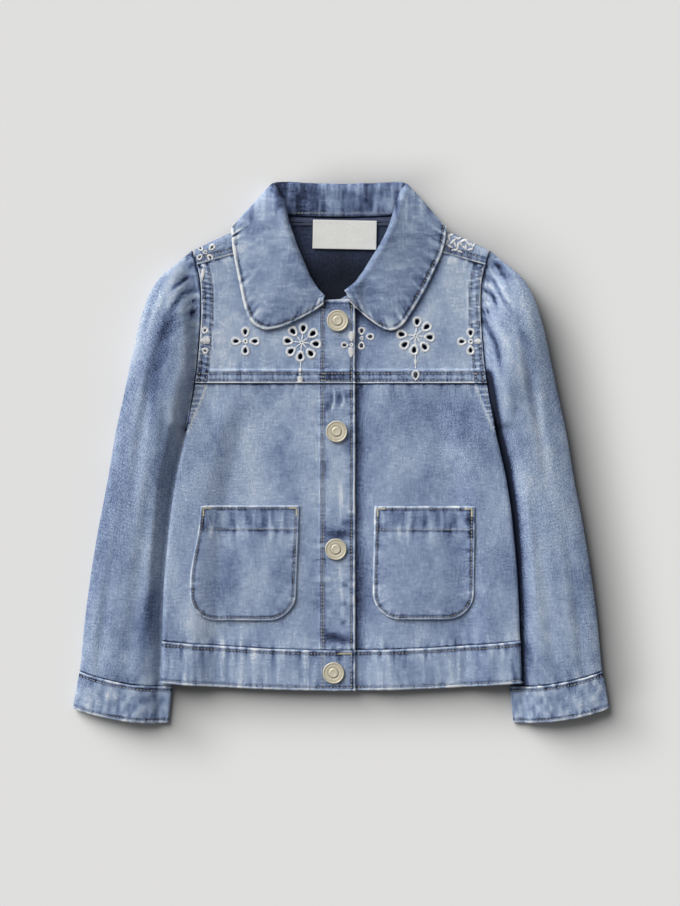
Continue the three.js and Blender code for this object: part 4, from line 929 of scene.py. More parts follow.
def front_detail(side, x, y):
    """Relief and fading of one lower front."""
    sign = SIGN[side]
    far = sign * HEM_HALF
    near = FREE_EDGE_X if side == "right" else UNDERLAP_X
    seams = [
        seam(along_x(hem_seam_y, far, near), 11 + sign, light=0, dark=1.6, fade=0.9, pits=0, rim=1.3),
        seam(along_x(YOKE_Y, far, near), 21 + sign, light=0, dark=1.7, fade=0.8, pits=0, rim=1.3),
    ]
    if side == "right":
        seams += [
            seam(along_y(FREE_EDGE_X, -158, YOKE_Y), 41, reach=6, wave=5.5, light=1.5, fade=0.9),
            seam(along_y(PLACKET_ROW_X, -158, YOKE_Y), 47, light=0, fade=0.6, rows=(0.8,), pits=1.2),
        ]
    lift, fade = relief(x, y, seams, 61 + sign)
    fold_lift, fold_light_and_shade = creased(x, y, BODY_CREASES)
    _, patch_tone = creased(x, y, PATCHES)
    inset = half_width(y) - np.abs(x)
    width = ARMHOLE_BAND * smooth(6, 60, y)
    open_side = smooth(SIDE_CLOSED_Y, 18, y)
    on_band = (1 - smooth(width - 0.8, width + 0.4, inset)) * open_side
    puckers = ladder(y, 31 + sign)
    lift = lift + (0.2 + 0.3 * puckers) * on_band + fold_lift
    fade = fade + (1.2 * puckers - 0.3) * on_band + 1.1 * bell(inset - width - 0.6, 0.9) * open_side
    return lift, fade + fold_light_and_shade + patch_tone + WASH_AND_SHADE[f"front_{side}"] - free_edge_shade(side, x)


def front(side):
    """One lower front, from the hem band up to the yoke."""
    sign = SIGN[side]
    if side == "right":
        step_up = spaced(PLACKET_X - 1.4, PLACKET_X + 1, FINE_STEP)
        inner = np.concatenate([step_up, spaced(PLACKET_X + 1, FREE_EDGE_X, CLOTH_STEP, fine_end=True)[1:]])
    else:
        inner = spaced(UNDERLAP_HIGH_X, UNDERLAP_X, CLOTH_STEP)
    rows = spaced(0, YOKE_Y - SEAM_GAP / 2 - HEM_SEAM_Y, CLOTH_STEP, fine_start=True, fine_end=True)
    reach = NOMINAL_HALF - abs(inner[0])
    across = spaced(0, reach, CLOTH_STEP, fine_start=True) / reach
    x_rows = []
    y_rows = []
    for t in rows / rows[-1]:
        half = half_width(lerp(HEM_SEAM_Y + HEM_SEAM_RISE, YOKE_Y, t))
        x = np.concatenate([lerp(sign * half, inner[0], across), inner[1:]])
        x_rows.append(x)
        y_rows.append(lerp(hem_seam_y(x) + SEAM_GAP / 2, YOKE_Y - SEAM_GAP / 2, t))
    x = np.array(x_rows)
    y = np.array(y_rows)
    base = joined(x, y, FRONT_Z[side](x, y) - free_edge_drop(side, x)).reshape(-1, 3)
    faces, _ = grid_faces(*x.shape, flip=sign > 0)
    detail = front_detail(side, x, y)
    return cloth(f"front_{side}_denim", base, faces, base[faces][:, :, :2], *detail, front_wall(side, x))


def inside_polygon(x, y, polygon):
    """Which points of a plane lie within an outline."""
    inside = np.zeros(np.shape(x), bool)
    for (x0, y0), (x1, y1) in zip(polygon, np.roll(polygon, -1, axis=0)):
        crosses = (y0 > y) != (y1 > y)
        with np.errstate(divide="ignore", invalid="ignore"):
            inside ^= crosses & (x < (x1 - x0) * (y - y0) / (y1 - y0) + x0)
    return inside


def cut_grid(outline, holes, grid_x, grid_y):
    """The points and triangles of a panel cut to an outline seen from above, with holes cut through it."""
    x, y = (at.ravel() for at in np.meshgrid(grid_x, grid_y))
    keep = inside_polygon(x, y, outline)
    loops = [outline, *holes]
    for loop in loops:
        far, _ = beside(x, y, np.vstack([loop, loop[:1]]))
        keep &= far > (0.35 if loop is not outline else 0.25)
    for hole in holes:
        keep &= ~inside_polygon(x, y, hole)
    points = np.vstack([*loops, joined(x[keep], y[keep])])
    edges = []
    start = 0
    for loop in loops:
        edges += [(start + i, start + (i + 1) % len(loop)) for i in range(len(loop))]
        start += len(loop)
    spots, _, faces, *_ = delaunay_2d_cdt([tuple(p) for p in points], edges, [], 0, 1e-4)
    spots = np.array([tuple(p) for p in spots])
    faces = np.array(faces)
    middle_x, middle_y = spots[faces].mean(axis=1).T
    keep = inside_polygon(middle_x, middle_y, outline)
    for hole in holes:
        keep &= ~inside_polygon(middle_x, middle_y, hole)
    faces = faces[keep]
    a, b, c = (spots[faces[:, k]] for k in range(3))
    area = (b[:, 0] - a[:, 0]) * (c[:, 1] - a[:, 1]) - (b[:, 1] - a[:, 1]) * (c[:, 0] - a[:, 0])
    faces[area < 0] = faces[area < 0][:, ::-1]
    used, faces = np.unique(faces[np.abs(area) > 1e-6], return_inverse=True)
    return spots[used], faces.reshape(-1, 3)


# Cut and stitched flowers of the yoke, the large one of each side first. skip names the petals
# that a seam or a lobe of the collar would cover
FLOWER = {"turn": 6, "count": 8, "radius": 11.2, "across": 3.2, "along": 4.8}
SMALL_FLOWER = {"turn": 0, "count": 4}
FLOWERS = {
    "right": (
        {"x": -31.3, "y": 87.6, **FLOWER, "skip": ()},
        {"x": -76.5, "y": 88.6, **SMALL_FLOWER, "radius": 7.4, "across": 2.6, "along": 4.2, "skip": ()},
    ),
    "left": (
        {"x": 59.8, "y": 92.9, **FLOWER, "skip": (7,)},
        {"x": 103.7, "y": 88.3, **SMALL_FLOWER, "radius": 6.9, "across": 2.4, "along": 3.8, "skip": (1,)},
    ),
}


RIM = 2.4
SPLIT_FLOWER_X = 9.9
SPLIT_FLOWER_Y = 85.8

# Satin shapes with no hole: where each is, which way it points in degrees from +X, how wide and how
# long it is
SATIN = {
    "yoke_right": (
        (-32.5, 65.5, 90, 3.2, 3.6),
        (-32.8, 57.6, 90, 5.2, 6.6),
        (SPLIT_FLOWER_X - 1.6, SPLIT_FLOWER_Y + 6.6, 90, 5.4, 8),
        (SPLIT_FLOWER_X - 1.8, SPLIT_FLOWER_Y - 6, 90, 5.4, 8),
        (-108.8, 89.1, 0, 7, 8.2),
        (-110.6, 142.4, 84, 3.8, 8.6),
    ),
    "yoke_left": (
        (59.7, 72.1, 90, 2.4, 5),
        (109.2, 88.6, 0, 5.4, 5.6),
    ),
    "back_panel": (
        (86.6, 171.6, 100, 2.4, 5.4), (89.6, 168.4, 40, 2.6, 5.8), (87.4, 164.4, 150, 2.2, 5),
        (92.8, 171.2, -20, 2.4, 5.2),
        (93.8, 165.4, 80, 2.6, 5.6), (97.2, 168.8, 30, 2.4, 5.4), (98.6, 163.6, -40, 2.4, 5.2),
        (101.8, 166.8, 120, 2.2, 5),
        (103.4, 162, 10, 2.4, 5.2), (90.4, 161.8, 10, 2, 4.4), (95.4, 160.4, 160, 2, 4.4),
        (106, 165, 60, 2, 4),
        (84.8, 167.6, 70, 2, 4.6), (91.4, 165.8, 110, 2, 4.4), (96, 171.6, 20, 2, 4.2),
        (100.4, 169.6, 60, 2, 4.2),
        (95.6, 167, -50, 2, 4), (100.2, 164.2, 90, 2, 4), (88.4, 173.8, 20, 2, 4), (93, 162.4, 50, 2, 4.2),
        (103.4, 166.4, -30, 2, 4),
    ),
}
# Rings of satin round a spot that isn't cut out: x, y, direction, width and length of the spot, and
# the width of the ring
BLIND_EYELETS = {
    "yoke_right": (
        (SPLIT_FLOWER_X - 7, SPLIT_FLOWER_Y - 0.3, 180, 2, 3, 1.8),
        (-108.8, 97.2, 60, 1.2, 2, 2.4), (-108.8, 81, -30, 1.2, 1.6, 2.4),
        (-31.3, 87.6, 0, 0.8, 0.8, 1.6), (-76.5, 88.6, 0, 1, 1, 2),
        (SPLIT_FLOWER_X - 1.6, SPLIT_FLOWER_Y, 0, 0.7, 0.7, 1.5),
    ),
    "yoke_left": (
        (16.6, 97, 90, 2.4, 3.4, 1.8), (23.3, 92.4, 0, 2.4, 3.4, 1.8), (16.4, 85.3, 270, 2.4, 3.4, 1.8),
        (59.7, 61.4, 90, 2.8, 4.6, 2), (59.8, 92.9, 0, 0.8, 0.8, 1.6), (103.7, 88.3, 0, 1, 1, 2),
        (16.6, 91.2, 0, 0.8, 0.8, 1.4),
    ),
    "back_panel": (
        (-112.4, 163, 130, 1, 1.8, 2), (-103.2, 163.8, 50, 1.1, 2.4, 2.2),
        (-104.8, 155.8, -45, 1.2, 2, 2.2),
        (-113, 156, -135, 0.9, 2.4, 1.9), (-108.6, 159.8, 0, 0.8, 0.8, 1.6),
    ),
}
# Straight stitches: from x, y to x, y
STEMS = {
    "yoke_right": ((-31.6, 85.6, -32.4, 67.4), (-32.6, 63.6, -32.8, 61)),
    "yoke_left": ((59.8, 90.6, 59.7, 75), (59.7, 69.4, 59.7, 66.4)),
    "back_panel": (),
}


def ellipse(x, y, degrees, across, along, count=20, pointed=0.25):
    """An outline whose length runs along a direction, wider at its far end."""
    angle = math.radians(degrees)
    turn = np.linspace(0, 2 * math.pi, count, endpoint=False)
    out = along / 2 * np.cos(turn)
    aside = across / 2 * np.sin(turn) * (1 + pointed * np.cos(turn))
    cos, sin = math.cos(angle), math.sin(angle)
    return joined(x + out * cos - aside * sin, y + out * sin + aside * cos)


def eyelets_of(flower):
    """Each hole of a flower: x, y, direction, width and length."""
    rows = []
    for petal in range(flower["count"]):
        if petal in flower["skip"]:
            continue
        degrees = 90 - 360 / flower["count"] * petal - flower["turn"]
        angle = math.radians(degrees)
        x = flower["x"] + flower["radius"] * math.cos(angle)
        y = flower["y"] + flower["radius"] * math.sin(angle)
        rows.append((x, y, degrees, flower["across"], flower["along"]))
    return rows


def petals_of(flower):
    """The outline of each hole of a flower, pointed towards its middle."""
    return [ellipse(*row) for row in eyelets_of(flower)]


PLACKET_TOP_LINE = ((-14, 122.4), (-6, 122.4), (6.2, 122.4), (8.7, 121.7), (10.5, 119.9), (11.2, 117.4))


def ladder(along, seed):
    """Narrow pale ridges, uneven, from about -0.4 between them to 1 on each."""
    phase = along / RIDGE_PITCH + 0.45 * noise(along / 7, 0 * along + 3, seed)
    crest = 0.5 + 0.5 * np.cos(2 * math.pi * phase)
    return (1.4 * crest**3 - 0.4) * (0.8 + 0.4 * noise(along / 3, 0 * along + 5, seed + 1))


def yoke_detail(side, x, y):
    """Relief and fading of one yoke."""
    sign = SIGN[side]
    far = sign * YOKE_HALF
    near = FREE_EDGE_X if side == "right" else UNDERLAP_X
    edge = along_y(lambda y: sign * half_width(y), YOKE_Y, 160)
    band_edge = along_y(lambda y: sign * (half_width(y) - 10), YOKE_Y, 150)
    seams = [
        seam(along_x(YOKE_Y, far, near), 71 + sign, fade=0.4, light=1.4, rim=1.3, rows=(2.1, 7.8)),
        seam(along_x(YOKE_Y + YOKE_BAND, far, near), 75 + sign, fade=0.5, light=0.2, pits=0, rim=1.2),
        seam(edge, 81 + sign, fade=0.3, light=1.3, rim=1.2, rows=(2.3, 8.4)),
        seam(band_edge, 84 + sign, fade=0.4, light=0.5, pits=0, rim=1),
        seam(along_x(shoulder_seam_y, far, sign * 50), 87 + sign, light=0, dark=1.6, pits=0, rim=1.3),
    ]
    if side == "right":
        seams += [
            seam(along_y(FREE_EDGE_X, YOKE_Y, 117), 91, reach=6, wave=5.5, light=1.5, fade=0.9),
            seam(along_y(PLACKET_ROW_X, YOKE_Y, 125), 97, light=0, fade=0.5, rows=(0.8,), pits=1.2),
            seam(PLACKET_TOP_LINE, 99, reach=4, wave=5, light=2, rim=1.9, rows=(3,), pits=1.2),
        ]
    lift, fade = relief(x, y, seams, 65 + sign)
    inset = half_width(y) - np.abs(x)
    band = smooth(0, 1.2, inset) * (1 - smooth(8.2, 10, inset))
    puckers = ladder(y + 0.25 * inset, 221 + sign)
    up = y - YOKE_Y
    low_band = smooth(0.8, 2.4, up) * (1 - smooth(8, 9.6, up)) * (1 - band)
    low_puckers = noise(x / 1.3, up / 14, 225 + sign)
    lift = lift + (0.3 + 0.35 * puckers) * band + 0.15 * low_puckers * low_band
    fade = fade + (1.3 * puckers - 0.3) * band + (0.9 * low_puckers - 0.2) * low_band + WASH_AND_SHADE["yoke"]
    # Darker places of the placket; the first is painted shade under the collar's lobe tips
    _, patch_tone = creased(x, y, YOKE_PATCHES)
    from_collar, _ = beside(x, y, [section[4:6] for section in COLLAR[side]])
    shade = COLLAR_SHADE[side] * bell(from_collar, COLLAR_SHADE_WIDTH) + free_edge_shade(side, x)
    return lift, fade + patch_tone - shade


def yoke(side):
    """One front yoke, cut to the neck, the shoulder seam, the armhole and the opening."""
    sign = SIGN[side]
    low = YOKE_Y + SEAM_GAP / 2
    neckline = line_through(FRONT_NECK[side])(np.linspace(0, 1, 50))
    neckline = neckline[neckline[:, 1] < shoulder_seam_y(neckline[:, 0]) - SEAM_GAP / 2]
    top_x = np.linspace(neckline[-1, 0], sign * half_width(SHOULDER_EDGE_Y - 1), 50)
    shoulder = joined(top_x, shoulder_seam_y(top_x) - SEAM_GAP / 2)
    edge_y = spaced(shoulder[-1, 1], low, CLOTH_STEP)
    armhole = joined(sign * half_width(edge_y), edge_y)
    if side == "right":
        bottom_x = spaced(armhole[-1, 0], FREE_EDGE_X, CLOTH_STEP, fine_end=True)
        angle = np.linspace(0, math.pi / 2, 10)
        corner = joined(
            FREE_EDGE_X - PLACKET_CORNER + PLACKET_CORNER * np.cos(angle),
            PLACKET_TOP_Y - PLACKET_CORNER + PLACKET_CORNER * np.sin(angle),
        )
        free_y = spaced(low, corner[0, 1], CLOTH_STEP)
        opening = np.vstack([joined(FREE_EDGE_X, free_y)[1:-1], corner])
        grid_x = np.concatenate([
            spaced(-YOKE_HALF, PLACKET_X - 1.4, CLOTH_STEP),
            spaced(PLACKET_X - 1, PLACKET_X + 1, FINE_STEP),
            spaced(PLACKET_X + 2, FREE_EDGE_X, CLOTH_STEP, fine_end=True),
        ])
    else:
        bottom_x = spaced(armhole[-1, 0], UNDERLAP_X, CLOTH_STEP)
        top_y = PLACKET_TOP_Y - 1
        free_y = spaced(low, top_y, CLOTH_STEP)
        opening = np.vstack([joined(UNDERLAP_X, free_y)[1:], [(-9, top_y), (-3, top_y)]])
        grid_x = spaced(UNDERLAP_X, YOKE_HALF, CLOTH_STEP)
    outline = np.vstack([neckline, shoulder[1:], armhole[1:], joined(bottom_x, low)[1:], opening])
    band = YOKE_Y + YOKE_BAND
    grid_y = np.concatenate([
        spaced(low, band - 0.5, CLOTH_STEP, fine_start=True),
        spaced(band - 0.2, band + 1.2, 0.35),
        spaced(band + 2.4, 190, CLOTH_STEP),
    ])
    holes = [petal for flower in FLOWERS[side] for petal in petals_of(flower)]
    spots, faces = cut_grid(outline, holes, grid_x, grid_y)
    x, y = spots.T
    base = joined(x, y, YOKE_Z[side](x, y) - free_edge_drop(side, x))
    detail = yoke_detail(side, x, y)
    return cloth(f"yoke_{side}_denim", base, faces, spots[faces], *detail, front_wall(side, x))


# Rows of the back's fold at the shoulder that face down, and the column that its flat length is
# measured along
FOLD_ROWS_UNDER = 8
SHOULDER_COLUMN = 20


def back():
    """The back: flat underneath, folded over the shoulders down to the shoulder seams on the front."""
    hem_y = HEM_SEAM_Y + HEM_SEAM_RISE
    reach = NOMINAL_HALF - NECK_HALF
    side_columns = spaced(0, reach, BACK_STEP, fine_start=True) / reach
    neck_columns = np.linspace(-NECK_HALF, NECK_HALF, 41)

    def top_edge(x):
        neck = BACK_NECK_Y + BACK_NECK_RISE * (x / NECK_HALF) ** 2
        return np.where(np.abs(x) < NECK_HALF - 0.01, neck, shoulder_y(x) - SHOULDER_FOLD)

    def columns(half):
        left = lerp(-half, -NECK_HALF, side_columns)
        return np.concatenate([left, neck_columns[1:-1], -left[::-1]])

    grid = []
    for y in spaced(hem_y, UNDER_COLLAR_Y, BACK_STEP):
        x = columns(half_width(y))
        lean = np.clip(1 - (y - hem_y) / 40, 0, 1)
        y = y + (hem_seam_y(x) + SEAM_GAP / 2 - hem_y) * lean
        grid.append(joined(x, y, back_z(x, y)))
    for share in np.linspace(0, 1, 25)[1:]:
        x = columns(half_width(lerp(UNDER_COLLAR_Y, SHOULDER_EDGE_Y - 1, share)))
        y = lerp(UNDER_COLLAR_Y, top_edge(x), share)
        grid.append(joined(x, y, back_z(x, y)))
    flat_rows = len(grid)
    x = columns(half_width(SHOULDER_EDGE_Y))
    low, high = back_z(x, top_edge(x)), front_z(x, top_edge(x))
    for turn in np.linspace(0, math.pi, 13)[1:]:
        z = (low + high) / 2 - (high - low) / 2 * math.cos(turn)
        grid.append(joined(x, top_edge(x) + SHOULDER_FOLD * math.sin(turn), z))
    for share in np.linspace(0, 1, 12)[1:]:
        x = columns(half_width(lerp(SHOULDER_EDGE_Y, 150, share)))
        y = lerp(shoulder_y(x) - SHOULDER_FOLD, shoulder_seam_y(x) + SEAM_GAP / 2, share)
        grid.append(joined(x, y, front_z(x, y)))
    every = np.array(grid)
    faces, places = grid_faces(*every.shape[:2], flip=True)
    base = every.reshape(-1, 3)
    over = places[:, :, 0].max(axis=1) > flat_rows - 1
    middle = base[faces].mean(axis=1)
    faces = faces[~(over & (np.abs(middle[:, 0]) < NECK_HALF))]
    used, faces = np.unique(faces, return_inverse=True)
    faces = faces.reshape(-1, 4)
    row = used // every.shape[1]
    base = base[used]
    x, y, _ = base.T
    folded = row >= flat_rows + FOLD_ROWS_UNDER
    strips = []
    for sign in (-1, 1):
        shoulder = along_x(shoulder_seam_y, sign * YOKE_HALF, sign * 50)
        strips.append(seam(shoulder, 101 + sign, reach=7, light=1.5, rows=(1.9, 5.2)))
    lift, fade = relief(x, y, strips, 105)
    fold_lift, fold_light_and_shade = creased(-x, y, BODY_CREASES)
    lift = np.where(folded, lift, -0.35 * np.abs(lift + fold_lift))
    in_neck = 1 - smooth(NECK_HALF - 3, NECK_HALF + 3, np.abs(x))
    # Painted shade deep in the neck's opening
    deep = NECK_PAINTED_SHADE * (1 - smooth(124, 172, y)) * in_neck
    fade = fade + np.where(folded, WASH_AND_SHADE["yoke"], fold_light_and_shade) - deep
    corner_uv = joined(x, run_along(every[:, SHOULDER_COLUMN])[row])[faces]
    return cloth("back_panel_denim", base, faces, corner_uv, lift, fade, WALL)


def hem_band():
    """The hem band: a strip round the body, open at the front where its right end laps its left."""
    front_right = spaced(FREE_EDGE_X, -HEM_HALF, CLOTH_STEP, fine_start=True, fine_end=True)
    under = spaced(-HEM_HALF, HEM_HALF, BACK_STEP, fine_start=True, fine_end=True)
    front_left = spaced(HEM_HALF, UNDERLAP_X, CLOTH_STEP, fine_start=True)
    rows = spaced(0, HEM_SEAM_Y - HEM_EDGE_Y, CLOTH_STEP, fine_start=True, fine_end=True)
    share = rows / rows[-1]
    grid = []
    for t in share:
        nominal = lerp(HEM_EDGE_Y, HEM_SEAM_Y, t)
        width = half_width(nominal)
        scale = width / HEM_HALF
        drop = edge_drop(rows[-1] * t, ROUND_EDGE) + 0.8 * edge_drop(rows[-1] * (1 - t), 0.9)
        right = np.where(front_right < -60, front_right * scale, front_right)
        left = np.where(front_left > 60, front_left * scale, front_left)
        right_z, left_z = (
            front_z(x, nominal) + HEM_RAISE * fold_over(width - np.abs(x), SIDE_FOLD) - drop
            for x in (right, left)
        )
        side_z = [side_lift(width, nominal) + body_thickness(width, nominal) / 2]
        x = np.concatenate([right, [-width], under * scale, [width], left])
        z = np.concatenate([
            right_z - edge_drop(FREE_EDGE_X - right, ROUND_EDGE), side_z,
            back_z(under * scale, nominal) + drop * 0.6, side_z,
            left_z - HEM_UNDERLAP_DROP * underlap(left),
        ])
        grid.append(joined(x, lerp(hem_edge_y(x), hem_seam_y(x) - SEAM_GAP / 2, t), z))
    every = np.array(grid)
    faces, _ = grid_faces(*every.shape[:2], flip=True)
    base = every.reshape(-1, 3)
    path = run_along(every[0])
    u = np.tile(path, len(every))
    v = np.repeat(lerp(HEM_EDGE_Y, HEM_SEAM_Y, share), len(path))
    on_front = np.ones(every.shape[:2], bool)
    on_front[:, len(front_right) : -len(front_left)] = False
    top, low = (along_x(y, 0, path[-1], 40) for y in (HEM_SEAM_Y, HEM_EDGE_Y))
    seams = [
        seam(top, 111, reach=11, wave=5.5, light=0.6, fade=1.8, rim=1.3, rows=(2.7,)),
        seam(low, 115, reach=9, wave=5, light=1.2, fade=0.9, rows=(2.4,), pits=1.2),
        seam([(0, HEM_EDGE_Y), (0, HEM_SEAM_Y)], 119, reach=4, light=1.4),
    ]
    lift, fade = relief(u, v, seams, 121)
    streaks = noise(u / 2.6, v / 45, 125) + 0.6 * noise(u / 1.4, v / 30, 127)
    lift = np.where(on_front.ravel(), lift + 0.14 * streaks, -UNDER_RELIEF * np.abs(lift))
    fade = fade + 0.35 * streaks + WASH_AND_SHADE["hem"]
    return cloth("hem_band_denim", base, faces, joined(u, base[:, 1])[faces], lift, fade, BAND_WALL - 0.4)


def ring(sign, width, share, top, under_share, under):
    """One ring of a tube, out over its top and back beneath it, and how far round its points lie."""
    points = joined(*(np.concatenate(pair) for pair in zip(top, under))) * (sign, 1, 1)
    return points, np.concatenate([share * width, (2 - under_share) * width, [2 * width]])


def tube(rings, run, flip, ease_in, ease_out):
    """A tube's points and faces, its flat cloth, and how fully each point is on its top."""
    every = np.array([points for points, _ in rings])
    around = np.array([far for _, far in rings])
    rows, columns = every.shape[:2]
    faces, places = grid_faces(rows, columns, ring=True, flip=flip)
    corner_uv = joined(around[places[:, :, 0], places[:, :, 1]], run[places[:, :, 0]])
    last = columns // 2
    at = np.arange(last + 1)
    on_top = np.zeros(columns)
    on_top[: last + 1] = np.minimum(at / ease_in, 1) * np.minimum((last - at) / ease_out, 1)
    base = every.reshape(-1, 3)
    return base, faces, corner_uv, around[:, :-1].ravel(), np.repeat(run, columns), np.tile(on_top, rows)


def tuck_ceiling(x, y):
    """How high a sleeve may reach where the side of the body lies over it or close to it."""
    outside = np.maximum(x - half_width(y) - TUCK_MARGIN, 0)
    return TUCKED_HEIGHT + outside * TUCK_SLOPE + smooth(*TUCK_END_Y, y) * CLEAR_HEIGHT


def sleeve_plan(along, share):
    """Where a point of a sleeve lies, seen from above."""
    inner = sleeve_inner(along**INNER_EDGE_LAG)
    outer = sleeve_outer(along)
    x = lerp(inner[..., 0], outer[..., 0], share)
    y = lerp(inner[..., 1], outer[..., 1], share)
    start_y = lerp(SLEEVE_INNER_EDGE["y"][0], SLEEVE_OUTER_EDGE["y"][0], share)
    straight_x = lerp(SLEEVE_INNER_EDGE["x"][0], SLEEVE_OUTER_EDGE["x"][0], share)
    seam_x = half_width(start_y) + SLEEVE_SEAM_OFFSET
    x = x + np.minimum(seam_x - straight_x, 0) * (1 - smooth(0, 0.3, along))
    y = y - CUFF_BOW * 4 * share * (1 - share) * smooth(0.7, 1, along)
    return x, y


def outer_roundness(share, roundness):
    """1 over the inner half of a tube, falling to 0 at its outer edge."""
    return np.sqrt(1 - np.maximum((share - 0.5) / 0.5, 0) ** roundness)


def sleeve_top_z(along, share, x, y):
    """How high the top of a sleeve is, with its pleats and troughs."""
    crown = sleeve_crown(along)
    away = smooth(0, HEAD_END, along)
    outer_end = lerp(SEAM_HEIGHT, crown * SLEEVE_EDGE_SHARE, away)
    outer_hump = outer_roundness(share, SLEEVE_ROUNDNESS)
    rising = lerp(TUCKED_HEIGHT, crown, smooth(-0.04, 0.42, share))
    puffed = np.where(share < 0.5, rising, lerp(outer_end, crown, outer_hump))
    beside_body = np.minimum(front_z(half_width(y), y), HIGHEST_ARMHOLE)
    at_seam = beside_body * np.minimum(1, 0.5 + outer_hump)
    z = lerp(lerp(SEAM_HEIGHT, at_seam, outer_hump), puffed, away)
    phase = (share - PLEAT_START) / (PLEAT_END - PLEAT_START)
    pleated = (phase > 0) & (phase < 1)
    z = z - pleated * pleat_depth(along) * (0.5 - 0.5 * np.cos(2 * math.pi * PLEAT_COUNT * phase))
    for one in SLEEVE_TROUGHS:
        over = 1 - smooth(0, one["width"], np.abs(share - one["across"]))
        travelled = np.clip((along - one["start"]) / (one["end"] - one["start"]), 0, 1)
        z = z - one["depth"] * over * np.sin(math.pi * travelled)
    return soft_min(z, tuck_ceiling(x, y))


def sleeve_gathers(u, v, seed):
    """Small gathers that run down from the sleeve's head: how high and how faded they are."""
    crests = bell(v, 11) * (noise(u / 2.6, v / 40, seed) + 0.6 * noise(u / 1.5, v / 25, seed + 1))
    return 0.3 * crests, 0.6 * crests


def sleeve(side):
    """One sleeve, a flattened tube from the armhole down to the cuff."""
    sign = SIGN[side]
    along = np.concatenate([np.linspace(0, 0.12, 36), np.linspace(0.12, 1, 196)[1:]])
    offsets_in = np.concatenate([FOLD_STEPS, [4.2]])
    offsets_out = np.array([0, 0.15, 0.5, 1.1, 2, 3.2, 4.6, 6])
    middle = np.linspace(0, 1, 46)[1:-1]
    rings = []
    for a in along:
        width = np.linalg.norm(sleeve_outer(a) - sleeve_inner(a**INNER_EDGE_LAG))
        first, last = offsets_in / width, 1 - offsets_out[::-1] / width
        top = np.concatenate([first, lerp(first[-1], last[0], middle), last])
        under = top[::-1][1:-1]
        x, y = sleeve_plan(a, top)
        outer_end = lerp(SEAM_HEIGHT, sleeve_crown(a) * SLEEVE_EDGE_SHARE, smooth(0, HEAD_END, a))
        z = lerp(TUCKED_FOLD, sleeve_top_z(a, top, x, y), fold_over(top * width, TUCKED_FOLD))
        under_x, under_y = sleeve_plan(a, under)
        floor = side_lift(half_width(under_y), under_y) * (1 - smooth(0, 0.06, a)) * 0.6
        turned_in = 1 - fold_over(under * width, TUCKED_FOLD)
        turned_out = 1 - fold_over((1 - under) * width, OUTER_FOLD)
        under_z = np.maximum(floor * (1 - turned_in), 0) + TUCKED_FOLD * turned_in + outer_end * turned_out
        rings.append(ring(sign, width, top, (x, y, z), under, (under_x, under_y, under_z)))
    crown = len(offsets_in) + len(middle) // 2
    length = run_along([points[crown] for points, _ in rings])
    base, faces, corner_uv, u, v, on_top = tube(rings, length, sign > 0, ease_in=8, ease_out=5)
    head = along_x(0, 0, SLEEVE_HEAD_ROUND, 40)
    wrist = along_x(length[-1], 0, WRIST_ROUND)
    seams = [
        seam(head, 131 + sign, reach=5, depth=0.15, light=0, dark=0.7, fade=0.3, pits=0, rim=0.9),
        seam(wrist, 135 + sign, reach=9, wave=5.5, light=0, dark=1.4, fade=1, pits=0, rim=1.3),
    ]
    lift, fade = relief(u, v, seams, 139 + sign)
    x, y, _ = base.T
    fold_lift, fold_light_and_shade = creased(x, y, SLEEVE_CREASES[side])
    gathers, gather_fade = sleeve_gathers(u, v, 241 + sign)
    lift = lift + fold_lift
    lift = np.where(on_top > 0, (lift + gathers) * on_top, -UNDER_RELIEF * np.abs(lift))
    fade = fade + fold_light_and_shade * np.where(on_top > 0, 1, 0.4) + gather_fade + WASH_AND_SHADE[f"sleeve_{side}"]
    # Painted light beside the body on the right sleeve, and on the left sleeve the painted shade that the body's
    # side casts on it
    side_light_shade = bell(np.maximum(np.abs(x) - half_width(y) - 1.5, 0), SIDE_LIGHT_SHADE_WIDTH[side])
    strength = lerp(SIDE_LIGHT_SHADE_LOW[side], SIDE_LIGHT_SHADE_HIGH[side], smooth(-120, -20, y))
    fade = fade + strength * side_light_shade * (1 - smooth(*SIDE_LIGHT_SHADE_END[side], y))
    return cloth(f"sleeve_{side}_denim", base, faces, corner_uv, lift, fade, WALL)


